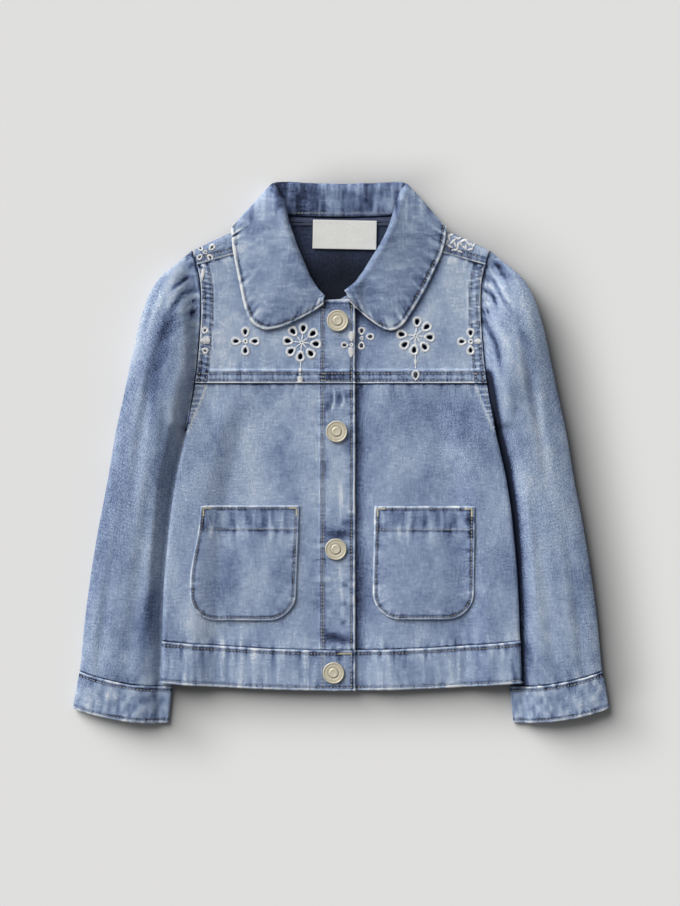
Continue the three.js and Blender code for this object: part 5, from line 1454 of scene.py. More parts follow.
def cuff(side):
    """One cuff, a flattened band at the end of its sleeve, and its grid of points."""
    sign = SIGN[side]
    start_in, start_out = (
        np.array([edge["x"][-1], edge["y"][-1]]) for edge in (SLEEVE_INNER_EDGE, SLEEVE_OUTER_EDGE)
    )
    down = spaced(0, CUFF_DEPTH, CLOTH_STEP, fine_start=True, fine_end=True)
    rings = []
    for depth in down:
        share = depth / CUFF_DEPTH
        inner = lerp(start_in, np.array(CUFF_INNER), share) - (CUFF_GROW, 0)
        outer = lerp(start_out, np.array(CUFF_OUTER), share)
        width = np.linalg.norm(outer - inner)
        middle = np.linspace(FOLD_STEPS[-1], width - FOLD_STEPS[-1], 50)[1:-1]
        top = np.concatenate([FOLD_STEPS, middle, width - FOLD_STEPS[::-1]]) / width
        under = top[::-1][1:-1]
        crown = lerp(CUFF_CROWN, CUFF_END_CROWN, share)
        outer_end = crown * CUFF_EDGE_SHARE
        shrink = edge_drop(CUFF_DEPTH - depth, ROUND_EDGE) + 0.7 * edge_drop(depth, 0.9)

        def plan(across):
            bow = CUFF_BOW * 4 * across * (1 - across) + SEAM_GAP * (1 - share)
            return lerp(inner[0], outer[0], across), lerp(inner[1], outer[1], across) - bow

        x, y = plan(top)
        hump = np.where(
            top < 0.5,
            lerp(TUCKED_HEIGHT + 0.2, crown, smooth(-0.02, 0.4, top)),
            lerp(outer_end, crown, outer_roundness(top, CUFF_ROUNDNESS)),
        )
        surface = soft_min(hump, tuck_ceiling(x, np.maximum(y, -192))) - shrink
        z = lerp(CUFF_LOW_Z, surface, fold_over(top * width, CUFF_FOLD))
        turned_in = 1 - fold_over(under * width, CUFF_FOLD)
        turned_out = 1 - fold_over((1 - under) * width, CUFF_OUTER_FOLD)
        under_z = np.maximum(CUFF_LOW_Z * turned_in + outer_end * turned_out, shrink * 0.5)
        rings.append(ring(sign, width, top, (x, y, z), under, (*plan(under), under_z)))
    base, faces, corner_uv, u, v, on_top = tube(rings, down, sign > 0, ease_in=6, ease_out=6)
    end = along_x(CUFF_DEPTH, 0, WRIST_ROUND)
    seams = [
        seam(along_x(0, 0, WRIST_ROUND), 151 + sign, reach=9, wave=5, light=0.7, rim=1.2),
        seam(end, 155 + sign, wave=5, light=0.9, fade=0.8, rows=(2.4,)),
    ]
    lift, fade = relief(u, v, seams, 159 + sign)
    blotches = noise(u / 3.4, v / 6, 161 + sign) + 0.5 * noise(u / 1.9, v / 5, 163 + sign)
    lift = lift + 0.25 * blotches
    lift = np.where(on_top > 0, lift * on_top, -UNDER_RELIEF * np.abs(lift))
    fade = fade + 0.6 * blotches + WASH_AND_SHADE["cuff"]
    made = cloth(f"cuff_{side}_denim", base, faces, corner_uv, lift, fade, CUFF_WALL - RELIEF_ROOM)
    return made, np.array([points for points, _ in rings])


# How far in from the collar's outer edge its row of stitches is
COLLAR_ROW = 3.2
STAND_SHARES = np.array([0, 0.3, 0.6, 0.85])
FALL_SHARES = np.array([0.05, 0.14, 0.3, 0.5, 0.7, 0.87, 1])


def collar_section(section, yoke_z):
    """The middle of the collar's cloth along one section, from the neck seam over the roll to the edge."""
    sewn_x, sewn_y, roll_x, roll_y, end_x, end_y, rise, wrap = section
    base = yoke_z(sewn_x, min(sewn_y, 186))
    behind = smooth(0, 0.5, wrap)
    sewn_z = lerp(base - WALL, COLLAR_LIFT + WALL / 2, smooth(0, 0.3, wrap))
    roll_top = lerp(base + rise + 1, COLLAR_STAND_BACK, behind)
    roll_z = lerp(base + rise * 0.6, 2.7, behind)
    at_front = lerp(sewn_z, roll_z, STAND_SHARES)
    at_back = lerp(sewn_z, roll_top, np.minimum(STAND_SHARES * 1.25, 1))
    stand_x, stand_y = lerp(sewn_x, roll_x, STAND_SHARES), lerp(sewn_y, roll_y, STAND_SHARES)
    stand = joined(stand_x, stand_y, lerp(at_front, at_back, behind))
    x = lerp(roll_x, end_x, FALL_SHARES)
    y = lerp(roll_y, end_y, FALL_SHARES)
    crown = COLLAR_CROWN * np.sin(math.pi * FALL_SHARES)
    on_front = yoke_z(x, np.minimum(y, shoulder_y(x) - SHOULDER_FOLD)) + COLLAR_REST + crown
    on_front = on_front + (rise + 1 - COLLAR_REST) * (1 - FALL_SHARES) ** 2
    turn = 0.5 + 0.5 * math.cos(math.pi * wrap)
    fall = joined(x, y, lerp(COLLAR_UNDER_Z, on_front, turn))
    return np.vstack([stand, [(roll_x, roll_y, roll_z)], fall])


def to_outer_edge(middle):
    """How far each point of the collar's grid lies from the collar's outer edge."""
    width = np.linalg.norm(np.diff(middle, axis=1), axis=2)
    left = np.cumsum(width[:, ::-1], axis=1)[:, ::-1]
    return np.concatenate([left, np.zeros((len(middle), 1))], axis=1)


def collar():
    """The collar, from one lobe round the back of the neck to the other, and its grid of points."""
    sections = [collar_section(section, yoke_right_z) for section in COLLAR["right"]]
    sections += [collar_section(section, under_left_lobe_z) for section in reversed(COLLAR["left"])]
    sections = np.array(sections)
    edge = run_along(sections[:, -1])
    roll = run_along(sections[:, 4])
    size = edge / edge[-1] * 0.6 + roll / roll[-1] * 0.4
    rows_at = spaced(0, COLLAR_EDGE_LENGTH, CLOTH_STEP, fine_start=True, fine_end=True)
    shares = np.interp(rows_at / COLLAR_EDGE_LENGTH, size, np.linspace(0, 1, len(size)))
    knots = range(sections.shape[1])
    lines = [line_through(sections[:, knot], share_of_length=False) for knot in knots]
    dense = np.stack([line(shares) for line in lines], axis=1)
    columns_at = spaced(0, COLLAR_ACROSS, CLOTH_STEP, fine_end=True) / COLLAR_ACROSS
    spans = np.linalg.norm(np.diff(dense, axis=1), axis=2).mean(axis=0)
    knot_length = np.concatenate([[0], np.cumsum(spans)]) / spans.sum()
    places = np.interp(columns_at, knot_length, np.linspace(0, 1, len(knots)))
    middle = np.array([line_through(row, share_of_length=False)(places) for row in dense])
    rows, columns = middle.shape[:2]
    faces, _ = grid_faces(rows, columns, flip=True)
    facing = normals_of(middle.reshape(-1, 3), faces)
    to_edge = to_outer_edge(middle).ravel()
    half = COLLAR_WALL / 2 * np.clip(fold_over(to_edge + 0.05, ROUND_EDGE), 0.12, 1)
    base = middle.reshape(-1, 3) + facing * half[:, None]
    x, y, _ = base.T
    edge_line = [(0, 0), (COLLAR_EDGE_LENGTH, 0)]
    seams = [seam(edge_line, 171, reach=11, wave=5, light=1.7, fade=2.1, rows=(COLLAR_ROW,), rim=2.2)]
    lift, fade = relief(np.repeat(rows_at, columns), to_edge, seams, 175)
    standing = 1 - smooth(0.2, 0.36, np.tile(columns_at, rows))
    at_back = smooth(176, 196, y)
    wrinkles = noise(x / 3.4, y / 22, 177) + 0.5 * noise(x / 1.7, y / 15, 179)
    # Painted shade on the collar's stand at the back of the neck, darker towards the viewer's left
    stand_side_shade = lerp(-0.7, 0.45, smooth(-20, -10, x))
    fade = fade + (WASH_AND_SHADE["stand"] + stand_side_shade) * standing * at_back + 0.7 * wrinkles * at_back
    fade = fade + np.where(x < 0, WASH_AND_SHADE["lobe_right"], WASH_AND_SHADE["lobe_left"]) + 0.3 * noise(x / 8, y / 2.4, 167)
    lift = lift + 0.25 * wrinkles * at_back
    lift = np.where(middle[:, :, 2].ravel() < 2.2, -UNDER_RELIEF * np.abs(lift), lift)
    return cloth("collar_denim", base, faces, joined(y, x)[faces], lift, fade, 2 * half), middle


def pocket_sides(sizes, up, inset=0):
    """The x of a pocket's two sides, or of a line an inset within them, at heights above its foot."""
    corner = POCKET_CORNER - inset
    share = (up + inset) / (sizes["top"] - sizes["bottom"])
    round_in = corner * (1 - fold_over(up, corner)) + inset
    left = lerp(sizes["left"], sizes["leftTop"], smooth(0.3, 1, share)) + round_in
    return left, lerp(sizes["rightLow"], sizes["right"], share) - round_in


def pocket(sizes):
    """One patch pocket, laid over its front."""
    side = sizes["side"]
    sign = SIGN[side]
    height = sizes["top"] - sizes["bottom"]
    up = spaced(0, height, CLOTH_STEP, fine_start=True, fine_end=True)
    across = spaced(0, POCKET_ACROSS, CLOTH_STEP, fine_start=True, fine_end=True) / POCKET_ACROSS
    left, right = pocket_sides(sizes, up)
    x = lerp(left[:, None], right[:, None], across[None])
    y = np.broadcast_to((sizes["bottom"] + up)[:, None], x.shape)
    outline = np.vstack([joined(left, y[:, 0]), joined(right, y[:, 0])[::-1]])
    outline = np.vstack([outline, outline[:1]])
    far, _ = beside(x, y, outline)
    upright = np.sin(math.pi * (0.08 + 0.84 * up[:, None] / height))
    bulge = POCKET_BULGE * np.sin(math.pi * across[None]) * upright
    z = FRONT_Z[side](x, y) + POCKET_GAP + WALL + bulge - edge_drop(far, ROUND_EDGE)
    base = joined(x, y, z).reshape(-1, 3)
    faces, _ = grid_faces(*x.shape)
    hem = [(sizes["leftTop"], sizes["top"] - POCKET_HEM), (sizes["right"], sizes["top"] - 20.4)]
    seams = [
        seam(outline, 181 + sign, wave=5.5, light=1.1, fade=0.8, rim=1.2, rows=(2.3,)),
        seam(hem, 185 + sign, reach=7, light=0, fade=1.3, rows=(0,), pits=1.5),
    ]
    lift, fade = relief(x, y, seams, 189 + sign)
    down = sizes["top"] - y
    turned = smooth(2.5, 5, down) * (1 - smooth(15, 18, down))
    fade = fade + WASH_AND_SHADE["pocket"] - 0.6 * turned * (0.6 + noise(x / 2.6, y / 18, 197 + sign))
    return cloth(f"pocket_{side}_denim", base, faces, base[faces][:, :, :2], lift, fade, WALL - RELIEF_ROOM)


# Sewing: every stitch is one thread, laid on the pieces that are already made
THREAD_PITCH = 2.65
THREAD_LENGTH = 1.7
THREAD_WIDTH = 0.85
THREAD_HEIGHT = 0.42
LOWEST_THREAD = 0.25
# A thread isn't laid over a step in the cloth that is higher than this
HIGHEST_STEP = 2.5
SATIN_WIDTH = 0.62
RIM_THREAD_WIDTH = 0.66
RIM_THREAD_HEIGHT = 0.9
# Where the placket's rows run, and how far the others are from their seams
PLACKET_ROWS_X = (-15.5, -13.9)
ARMHOLE_ROWS = (2.2, 8.4)
YOKE_ROWS = (2.2, 7.8)


def threads_tree():
    """A tree that lays one thread at each point, along, up and size being attributes of the points."""
    tree = bpy.data.node_groups.new("threads", "GeometryNodeTree")

    def socket(name, kind, way="INPUT"):
        return tree.interface.new_socket(name, in_out=way, socket_type=kind).identifier

    sockets = {
        "Points": socket("Points", "NodeSocketGeometry"),
        "Unevenness": socket("Unevenness", "NodeSocketFloat"),
        "Seed": socket("Seed", "NodeSocketInt"),
        "Thread": socket("Thread", "NodeSocketMaterial"),
    }
    socket("Threads", "NodeSocketGeometry", "OUTPUT")

    def node(kind, settings=None, inputs=None):
        made = tree.nodes.new(kind)
        for key, value in (settings or {}).items():
            setattr(made, key, value)
        for key, value in (inputs or {}).items():
            if isinstance(value, bpy.types.NodeSocket):
                tree.links.new(value, made.inputs[key])
            else:
                made.inputs[key].default_value = value
        return made

    def attribute(name):
        read = node("GeometryNodeInputNamedAttribute", {"data_type": "FLOAT_VECTOR"}, {"Name": name})
        return read.outputs["Attribute"]

    def first(kind, settings, inputs):
        return node(kind, settings, inputs).outputs[0]

    given = node("NodeGroupInput").outputs
    ball = first("GeometryNodeMeshUVSphere", None, {"Segments": 6, "Rings": 4, "Radius": 1.0})
    thread = first("GeometryNodeTransform", None, {"Geometry": ball, "Rotation": (0, math.pi / 2, 0)})
    turned = first("FunctionNodeAlignRotationToVector", {"axis": "X"}, {"Vector": attribute("along")})
    turned = first(
        "FunctionNodeAlignRotationToVector",
        {"axis": "Z", "pivot_axis": "X"},
        {"Rotation": turned, "Vector": attribute("up")},
    )
    least = first("ShaderNodeMath", {"operation": "SUBTRACT"}, {0: 1.0, 1: given["Unevenness"]})
    most = first("ShaderNodeMath", {"operation": "ADD"}, {0: 1.0, 1: given["Unevenness"]})
    uneven = node("FunctionNodeRandomValue", {"data_type": "FLOAT"})
    floats = {item.identifier: item for item in uneven.inputs}
    for identifier, value in (("Min_001", least), ("Max_001", most), ("Seed", given["Seed"])):
        tree.links.new(value, floats[identifier])
    factor = {item.identifier: item for item in uneven.outputs}["Value_001"]
    size = first("ShaderNodeVectorMath", {"operation": "SCALE"}, {0: attribute("size"), "Scale": factor})
    laid = first(
        "GeometryNodeInstanceOnPoints",
        None,
        {"Points": given["Points"], "Instance": thread, "Rotation": turned, "Scale": size},
    )
    real = first("GeometryNodeRealizeInstances", None, {"Geometry": laid})
    soft = first("GeometryNodeSetShadeSmooth", None, {"Geometry": real})
    done = first("GeometryNodeSetMaterial", None, {"Geometry": soft, "Material": given["Thread"]})
    node("NodeGroupOutput", None, {"Threads": done})
    return tree, sockets


def yarn(name, colour, shade, roughness=0.7, sheen=0.15, grain=(900, 900, 900), low=0.3):
    """Thread or woven tape in two tones."""
    paint = Paint(name, Roughness=roughness, Sheen_Weight=sheen)
    twist = paint.noise(paint.node("ShaderNodeTexCoord", output=3), grain, 1.0)
    mix = paint.ramp(twist + 0.5, (low, shade), (0.7, colour))
    return paint.finish(Base_Color=mix, Normal=paint.bump(twist, 0.0001))


class Ground:
    """The pieces that threads are laid on, felt for from above or from below."""

    def __init__(self, names):
        points = []
        faces = []
        for name in names:
            mesh = bpy.data.objects[name].data
            start = len(points)
            points += [vertex.co for vertex in mesh.vertices]
            faces += [[start + corner for corner in face.vertices] for face in mesh.polygons]
        self.tree = BVHTree.FromPolygons(points, faces)

    def touch(self, x, y, below=False):
        """The place over or under (x, y) and which way the cloth faces there, or None."""
        start = Vector((x * MM, y * MM, -1 if below else 1))
        place, facing, *_ = self.tree.ray_cast(start, Vector((0, 0, 1 if below else -1)))
        if place is None:
            return None
        if facing.z * (-1 if below else 1) < 0:
            facing = -facing
        return np.array(place) / MM, np.array(facing)


def thread(ground, start, end, width=THREAD_WIDTH, height=THREAD_HEIGHT, below=False):
    """One thread over the cloth from (x, y) to (x, y): where it is, along, up and size."""
    here = ground.touch(*start, below)
    there = ground.touch(*end, below)
    if here is None or there is None or abs(here[0][2] - there[0][2]) > HIGHEST_STEP:
        return None
    run = there[0] - here[0]
    length = np.linalg.norm(run)
    place = (here[0] + there[0]) / 2 + (here[1] + there[1]) * 0.05
    if below:
        place[2] = max(place[2], LOWEST_THREAD)
    return (*place, *(run / length), *(here[1] + there[1]), length / 2, width / 2, height / 2)


def stitched(ground, line, pitch=THREAD_PITCH, length=THREAD_LENGTH, width=THREAD_WIDTH, below=False):
    """A row of stitches along a line of points seen from above."""
    line = np.asarray(line, float)
    far = run_along(line)
    count = max(int(far[-1] / pitch), 1)
    middles = (np.arange(count) + 0.5) * far[-1] / count
    rows = []
    for middle in middles:
        start, end = (
            [np.interp(middle + half, far, axis) for axis in line.T]
            for half in (-length / 2, length / 2)
        )
        rows.append(thread(ground, start, end, width=width, below=below))
    return rows


def rimmed(ground, eyelet, rim=RIM, spacing=0.55):
    """Satin threads from the edge of an eyelet outwards, all round it."""
    x, y, degrees, across, along = eyelet
    count = int(math.pi * (across + along + 2 * rim) / 2 / spacing)
    inner = ellipse(x, y, degrees, max(across - 0.3, 0.3), max(along - 0.3, 0.3), count)
    outer = ellipse(x, y, degrees, across + 2 * rim, along + 2 * rim, count)
    rows = []
    for start, end in zip(inner, outer):
        start = start + (end - start) * 0.12
        rows.append(thread(ground, start, end, width=RIM_THREAD_WIDTH, height=RIM_THREAD_HEIGHT))
    return rows


def satin(ground, x, y, degrees, across, along, spacing=0.5, height=1.1):
    """A solid petal of satin threads laid side by side across it."""
    angle = math.radians(degrees)
    rows = []
    for out in np.arange(-along / 2 + spacing / 2, along / 2, spacing):
        half = across / 2 * math.sqrt(max(1 - (2 * out / along) ** 2, 0.05)) * (1 + 0.25 * 2 * out / along)
        middle = np.array([x + out * math.cos(angle), y + out * math.sin(angle)])
        aside = np.array([-math.sin(angle), math.cos(angle)]) * half
        rows.append(thread(ground, middle - aside, middle + aside, width=SATIN_WIDTH, height=height))
    return rows


def sewn(name, rows, material, unevenness, seed):
    """All the threads of one kind, as one plain mesh, without those that would lie off the cloth."""
    rows = np.array([row for row in rows if row])
    mesh = bpy.data.meshes.new(name)
    mesh.from_pydata((rows[:, :3] * MM).tolist(), [], [])
    for key, values in (("along", rows[:, 3:6]), ("up", rows[:, 6:9]), ("size", rows[:, 9:12] * MM)):
        attribute = mesh.attributes.new(key, "FLOAT_VECTOR", "POINT")
        attribute.data.foreach_set("vector", values.astype(np.float32).ravel())
    points = bpy.data.objects.new(name + "_points", mesh)
    bpy.context.scene.collection.objects.link(points)
    layer = points.modifiers.new("threads", "NODES")
    tree, sockets = THREADS
    layer.node_group = tree
    layer[sockets["Unevenness"]] = unevenness
    layer[sockets["Seed"]] = seed
    layer[sockets["Thread"]] = material
    evaluated = points.evaluated_get(bpy.context.evaluated_depsgraph_get())
    made = bpy.data.meshes.new_from_object(evaluated)
    made.name = name
    bpy.data.objects.remove(points)
    piece = bpy.data.objects.new(name, made)
    bpy.context.scene.collection.objects.link(piece)
    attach(piece, "root")
    return piece


def pocket_row(sizes, inset, top_inset):
    """A line inside the edge of a pocket, down one side, round its bottom and up the other."""
    corner = POCKET_CORNER - inset
    height = sizes["top"] - sizes["bottom"] - inset - top_inset
    up = np.concatenate([np.linspace(0, corner, 14) ** 2 / corner, np.linspace(corner, height, 20)[1:]])
    y = sizes["bottom"] + inset + up
    left, right = (joined(x, y) for x in pocket_sides(sizes, up, inset))
    return np.vstack([left[::-1], right])


def topstitching():
    """Every row of topstitching on the jacket."""
    rows = []
    fronts = Ground(["front_right_denim", "front_left_denim", "yoke_right_denim", "yoke_left_denim"])
    hem = Ground(["hem_band_denim"])
    for below in (False, True):
        spans = [(-142, 0), (0, 142)] if below else [(-142, FREE_EDGE_X - 1.6), (UNDERLAP_X + 29, 142)]
        for start, end in spans:
            for y_at in (lambda x: hem_seam_y(x) - 2.9, lambda x: hem_edge_y(x) + 2.4):
                rows += stitched(hem, along_x(y_at, start, end, 60), below=below)
    rows += stitched(hem, [(FREE_EDGE_ROW_X, HEM_EDGE_Y + 3), (FREE_EDGE_ROW_X, HEM_SEAM_Y - 3)])
    for x in PLACKET_ROWS_X:
        rows += stitched(hem, [(x, HEM_EDGE_Y + 3), (x, HEM_SEAM_Y - 3)])
        rows += stitched(fronts, [(x, HEM_SEAM_Y + 1), (x, YOKE_Y - 1)])
        rows += stitched(fronts, [(x, YOKE_Y + 1), (x, 121)])
    rows += stitched(fronts, [(FREE_EDGE_ROW_X, HEM_SEAM_Y + 1), (FREE_EDGE_ROW_X, 118)])
    for sign in (-1, 1):
        for up in YOKE_ROWS:
            rows += stitched(fronts, along_x(YOKE_Y + up, sign * 115, FREE_EDGE_X + sign))
        for inset in ARMHOLE_ROWS:
            rows += stitched(fronts, along_y(lambda y: sign * (half_width(y) - inset), YOKE_Y + 1, 147))
            y = np.linspace(17, YOKE_Y - 1, 30)
            narrowed = lerp(ARMHOLE_ROWS[0], inset, smooth(14, 52, y))
            rows += stitched(fronts, joined(sign * (half_width(y) - narrowed), y))
    pockets = Ground(["pocket_right_denim", "pocket_left_denim"])
    for sizes in POCKETS:
        rows += stitched(pockets, pocket_row(sizes, 2.2, 0.5))
        for inset in (POCKET_HEM, 2):
            y = sizes["top"] - inset
            rows += stitched(pockets, [(sizes["leftTop"] + 3, y), (sizes["right"] - 3, y)])
    edge = Ground(["collar_denim"])
    middle = surfaces["collar"]
    line = middle[np.arange(len(middle)), np.argmax(to_outer_edge(middle) < COLLAR_ROW, axis=1)]
    line = line[line[:, 2] > 5.5][:, :2]
    for sign in (-1, 1):
        rows += stitched(edge, line[line[:, 0] * sign > 0])
    rows += stitched(edge, along_x(BACK_NECK_Y + 4.2, -38, 38))
    shoulders = Ground(["back_panel_denim"])
    for sign in (-1, 1):
        for up in (1.7, 5):
            rows += stitched(shoulders, along_x(lambda x: shoulder_seam_y(x) + up, sign * 112, sign * 80))
    for side in ("right", "left"):
        cuffs = Ground([f"cuff_{side}_denim"])
        grid = surfaces[f"cuff_{side}"]
        half = (grid.shape[1] + 2) // 2
        depth = np.linalg.norm(grid[:, half // 2] - grid[0, half // 2], axis=1)
        for down in (2.6, depth[-1] - 2.4):
            row = grid[np.argmin(np.abs(depth - down)), :, :2]
            rows += stitched(cuffs, row[3:half - 3])
            rows += stitched(cuffs, row[half + 3:-3], below=True)
    return rows


TACK_STEP = 0.5
TACK_HALF = 0.7


def bar_tacks():
    """Dense short stitches at the corners of the pockets and the foot of the placket."""
    rows = []
    pockets = Ground(["pocket_right_denim", "pocket_left_denim"])
    for sizes in POCKETS:
        for corner, inward in ((sizes["leftTop"], 1), (sizes["right"], -1)):
            x = corner + inward * 2.2
            top = sizes["top"] - 1.9
            for far in np.arange(0.4, 6, TACK_STEP):
                over, down = x + inward * far, top - far
                rows.append(thread(pockets, (over, top - TACK_HALF), (over, top + TACK_HALF), width=0.75))
                rows.append(thread(pockets, (x - TACK_HALF, down), (x + TACK_HALF, down), width=0.75))
    hem = Ground(["hem_band_denim"])
    for x in np.arange(-1.6, 8.6, TACK_STEP):
        rows.append(thread(hem, (x, HEM_SEAM_Y - 3.4), (x, HEM_SEAM_Y - 1.6), width=0.5))
    return rows


def embroidery():
    """The eyelet flowers of the yoke and shoulders: rims, satin petals and stems."""
    rows = []
    for piece in ("yoke_right", "yoke_left", "back_panel"):
        ground = Ground([f"{piece}_denim"])
        flowers = FLOWERS.get(piece.removeprefix("yoke_"), ())
        for flower in flowers:
            for eyelet in eyelets_of(flower):
                rows += rimmed(ground, eyelet)
        for *spot, rim in BLIND_EYELETS[piece]:
            rows += rimmed(ground, spot, rim)
        for petal in SATIN[piece]:
            rows += satin(ground, *petal)
        for start_x, start_y, end_x, end_y in STEMS[piece]:
            line = [(start_x, start_y), (end_x, end_y)]
            rows += stitched(ground, line, pitch=1.4, length=2, width=1.2)
        for flower in flowers[:1]:
            hub = np.array([flower["x"], flower["y"]])
            for x, y, *_ in eyelets_of(flower):
                out = np.array([x, y]) - hub
                rows.append(thread(ground, hub + out * 0.1, hub + out * 0.6, width=1.15, height=RIM_THREAD_HEIGHT))
    return rows


def eyelet_spots():
    """Painted shade in the eyelets that aren't cut out: dark threads in their middles, where a hole would show
    shade.
    """
    rows = []
    for piece, spots in BLIND_EYELETS.items():
        ground = Ground([f"{piece}_denim"])
        for x, y, degrees, across, along, _ in spots:
            rows += satin(ground, x, y, degrees, across + 0.4, along + 0.4, spacing=0.4, height=0.5)
    return rows


def brass():
    paint = Paint("pale_brass", Roughness=0.5, Metallic=0.3)
    place = paint.node("ShaderNodeTexCoord", output=3)
    groove = paint.node("ShaderNodeAttribute", {"attribute_name": "fade"}, output=2)
    patina = paint.noise(place, (900, 900, 900), 3.0)
    shade = 0.65 + patina * 0.5 + groove * 0.35
    pits, sides = (0, srgb(116, 109, 94)), (0.4, srgb(176, 168, 147))
    crests, wear_and_shade = (0.65, srgb(206, 199, 178)), (1, srgb(232, 227, 212))
    colour = paint.ramp(shade, pits, sides, crests, wear_and_shade)
    return paint.finish(Base_Color=colour, Normal=paint.bump(patina, 0.00012))


BRASS = brass()
BUTTON_SIDES = 72
PEBBLES = 18
PEBBLE_HEIGHT = 0.035
# The outline of a button from under its middle round to its top, in radii out and heights up
BUTTON_PROFILE = (
    (0, 0.02), (0.82, 0.02), (0.96, 0.12), (1, 0.32), (1, 0.62), (0.975, 0.8), (0.94, 0.88), (0.9, 0.86),
    (0.86, 0.78), (0.83, 0.74), (0.76, 0.77), (0.68, 0.77), (0.58, 0.76), (0.53, 0.7), (0.49, 0.66),
    (0.45, 0.72), (0.42, 0.9), (0.39, 0.97), (0.33, 0.99), (0.27, 0.94), (0.15, 0.92), (0, 0.92),
)


def button(name, x, y):
    """A shank button: a rim, a pebbled ring, a groove and a raised middle."""
    seat = front_z(x, y) + (HEM_RAISE if y < HEM_SEAM_Y else PLACKET_RAISE) + SEAM_GAP
    out, up = np.array(BUTTON_PROFILE).T
    sides = BUTTON_SIDES
    angle = np.linspace(0, 2 * math.pi, sides, endpoint=False)
    ring = out[1:-1, None]
    pebbled = (ring > 0.55) & (ring < 0.8)
    pebble = pebbled * PEBBLE_HEIGHT * np.sin(angle[None] * PEBBLES + ring * 40)
    points = joined(ring * np.cos(angle), ring * np.sin(angle), up[1:-1, None] + pebble).reshape(-1, 3)
    points = np.vstack([points, [[0, 0, up[0]], [0, 0, up[-1]]]])
    points = points * (BUTTON_RADIUS, BUTTON_RADIUS, BUTTON_HEIGHT) + (x, y, seat)
    rows = len(out) - 2
    faces, _ = grid_faces(rows, sides, ring=True)
    low, high = len(points) - 2, len(points) - 1
    fans = [(low, (i + 1) % sides, i) for i in range(sides)]
    last = (rows - 1) * sides
    fans += [(high, last + i, last + (i + 1) % sides) for i in range(sides)]
    groove = np.where((ring > 0.43) & (ring < 0.53), -0.9, np.where((ring > 0.8) & (ring < 0.88), -0.5, 0.0))
    fade = np.concatenate([(groove + 0 * angle[None]).ravel(), [0, 0.2]])
    return mesh_object(name + "_metal", points, [*faces.tolist(), *fans], (BRASS,), fade=fade)


WOVEN = {"roughness": 0.8, "sheen": 0.2, "grain": (2600, 2600, 400), "low": 0.2}
LABEL_CLOTH = yarn("label_satin", srgb(226, 226, 224), srgb(196, 196, 192), **WOVEN)
TAPE_CLOTH = yarn("tape_cloth", srgb(62, 72, 100), srgb(32, 38, 60), **WOVEN)


def strip(name, sizes, seat, material):
    """A narrow piece of cloth laid over the inside of the back, with soft edges."""
    width = sizes["right"] - sizes["left"]
    height = sizes["high"] - sizes["low"]
    across = spaced(-width / 2, width / 2, CLOTH_STEP, fine_start=True, fine_end=True)
    up = spaced(-height / 2, height / 2, CLOTH_STEP, fine_start=True, fine_end=True)
    x, y = np.meshgrid(across, up)
    edge = np.minimum(width / 2 - np.abs(x), height / 2 - np.abs(y))
    z = seat + sizes["thickness"] - edge_drop(edge, 0.3) + 0.12 * noise(x / 9, y / 7, 195)
    tilt = math.radians(-sizes["tilt"])
    placed_x = (sizes["left"] + sizes["right"]) / 2 + x * math.cos(tilt) - y * math.sin(tilt)
    placed_y = (sizes["low"] + sizes["high"]) / 2 + x * math.sin(tilt) + y * math.cos(tilt)
    base = joined(placed_x, placed_y, z).reshape(-1, 3)
    faces, _ = grid_faces(*x.shape)
    flat = np.zeros(len(base))
    wall = sizes["thickness"] - RELIEF_ROOM
    return cloth(name, base, faces, base[faces][:, :, :2], flat, flat, wall, (material, material))


FLOOR_HALF = 3000
FLOOR_STEP = 2.5
SHADE_BOX = {"left": -270, "right": 320, "low": -290, "high": 250}
# Where each soft shade comes from, how far it falls and how deep it is
SHADES = (((-0.79, 0.62), 60, 0.6), ((-0.93, -0.36), 50, 0.36))
SHADE_STEPS = 12


def footprint(x, y):
    """Which points of the floor the jacket lies over."""
    up = np.linspace(HEM_EDGE_Y, 160, 60)
    side = joined(half_width(up), up)
    shoulder = along_x(shoulder_y, 116, 52, 12)
    half = np.vstack([side, shoulder, [(52, 215.6)]])
    covered = inside_polygon(x, y, np.vstack([half, half[::-1] * (-1, 1)]))
    run = np.linspace(0, 1, 40)
    sleeve_and_cuff = np.vstack([sleeve_outer(run), [CUFF_OUTER, CUFF_INNER], sleeve_inner(run[::-1])])
    for sign in (-1, 1):
        covered |= inside_polygon(x * sign, y, sleeve_and_cuff)
    return covered


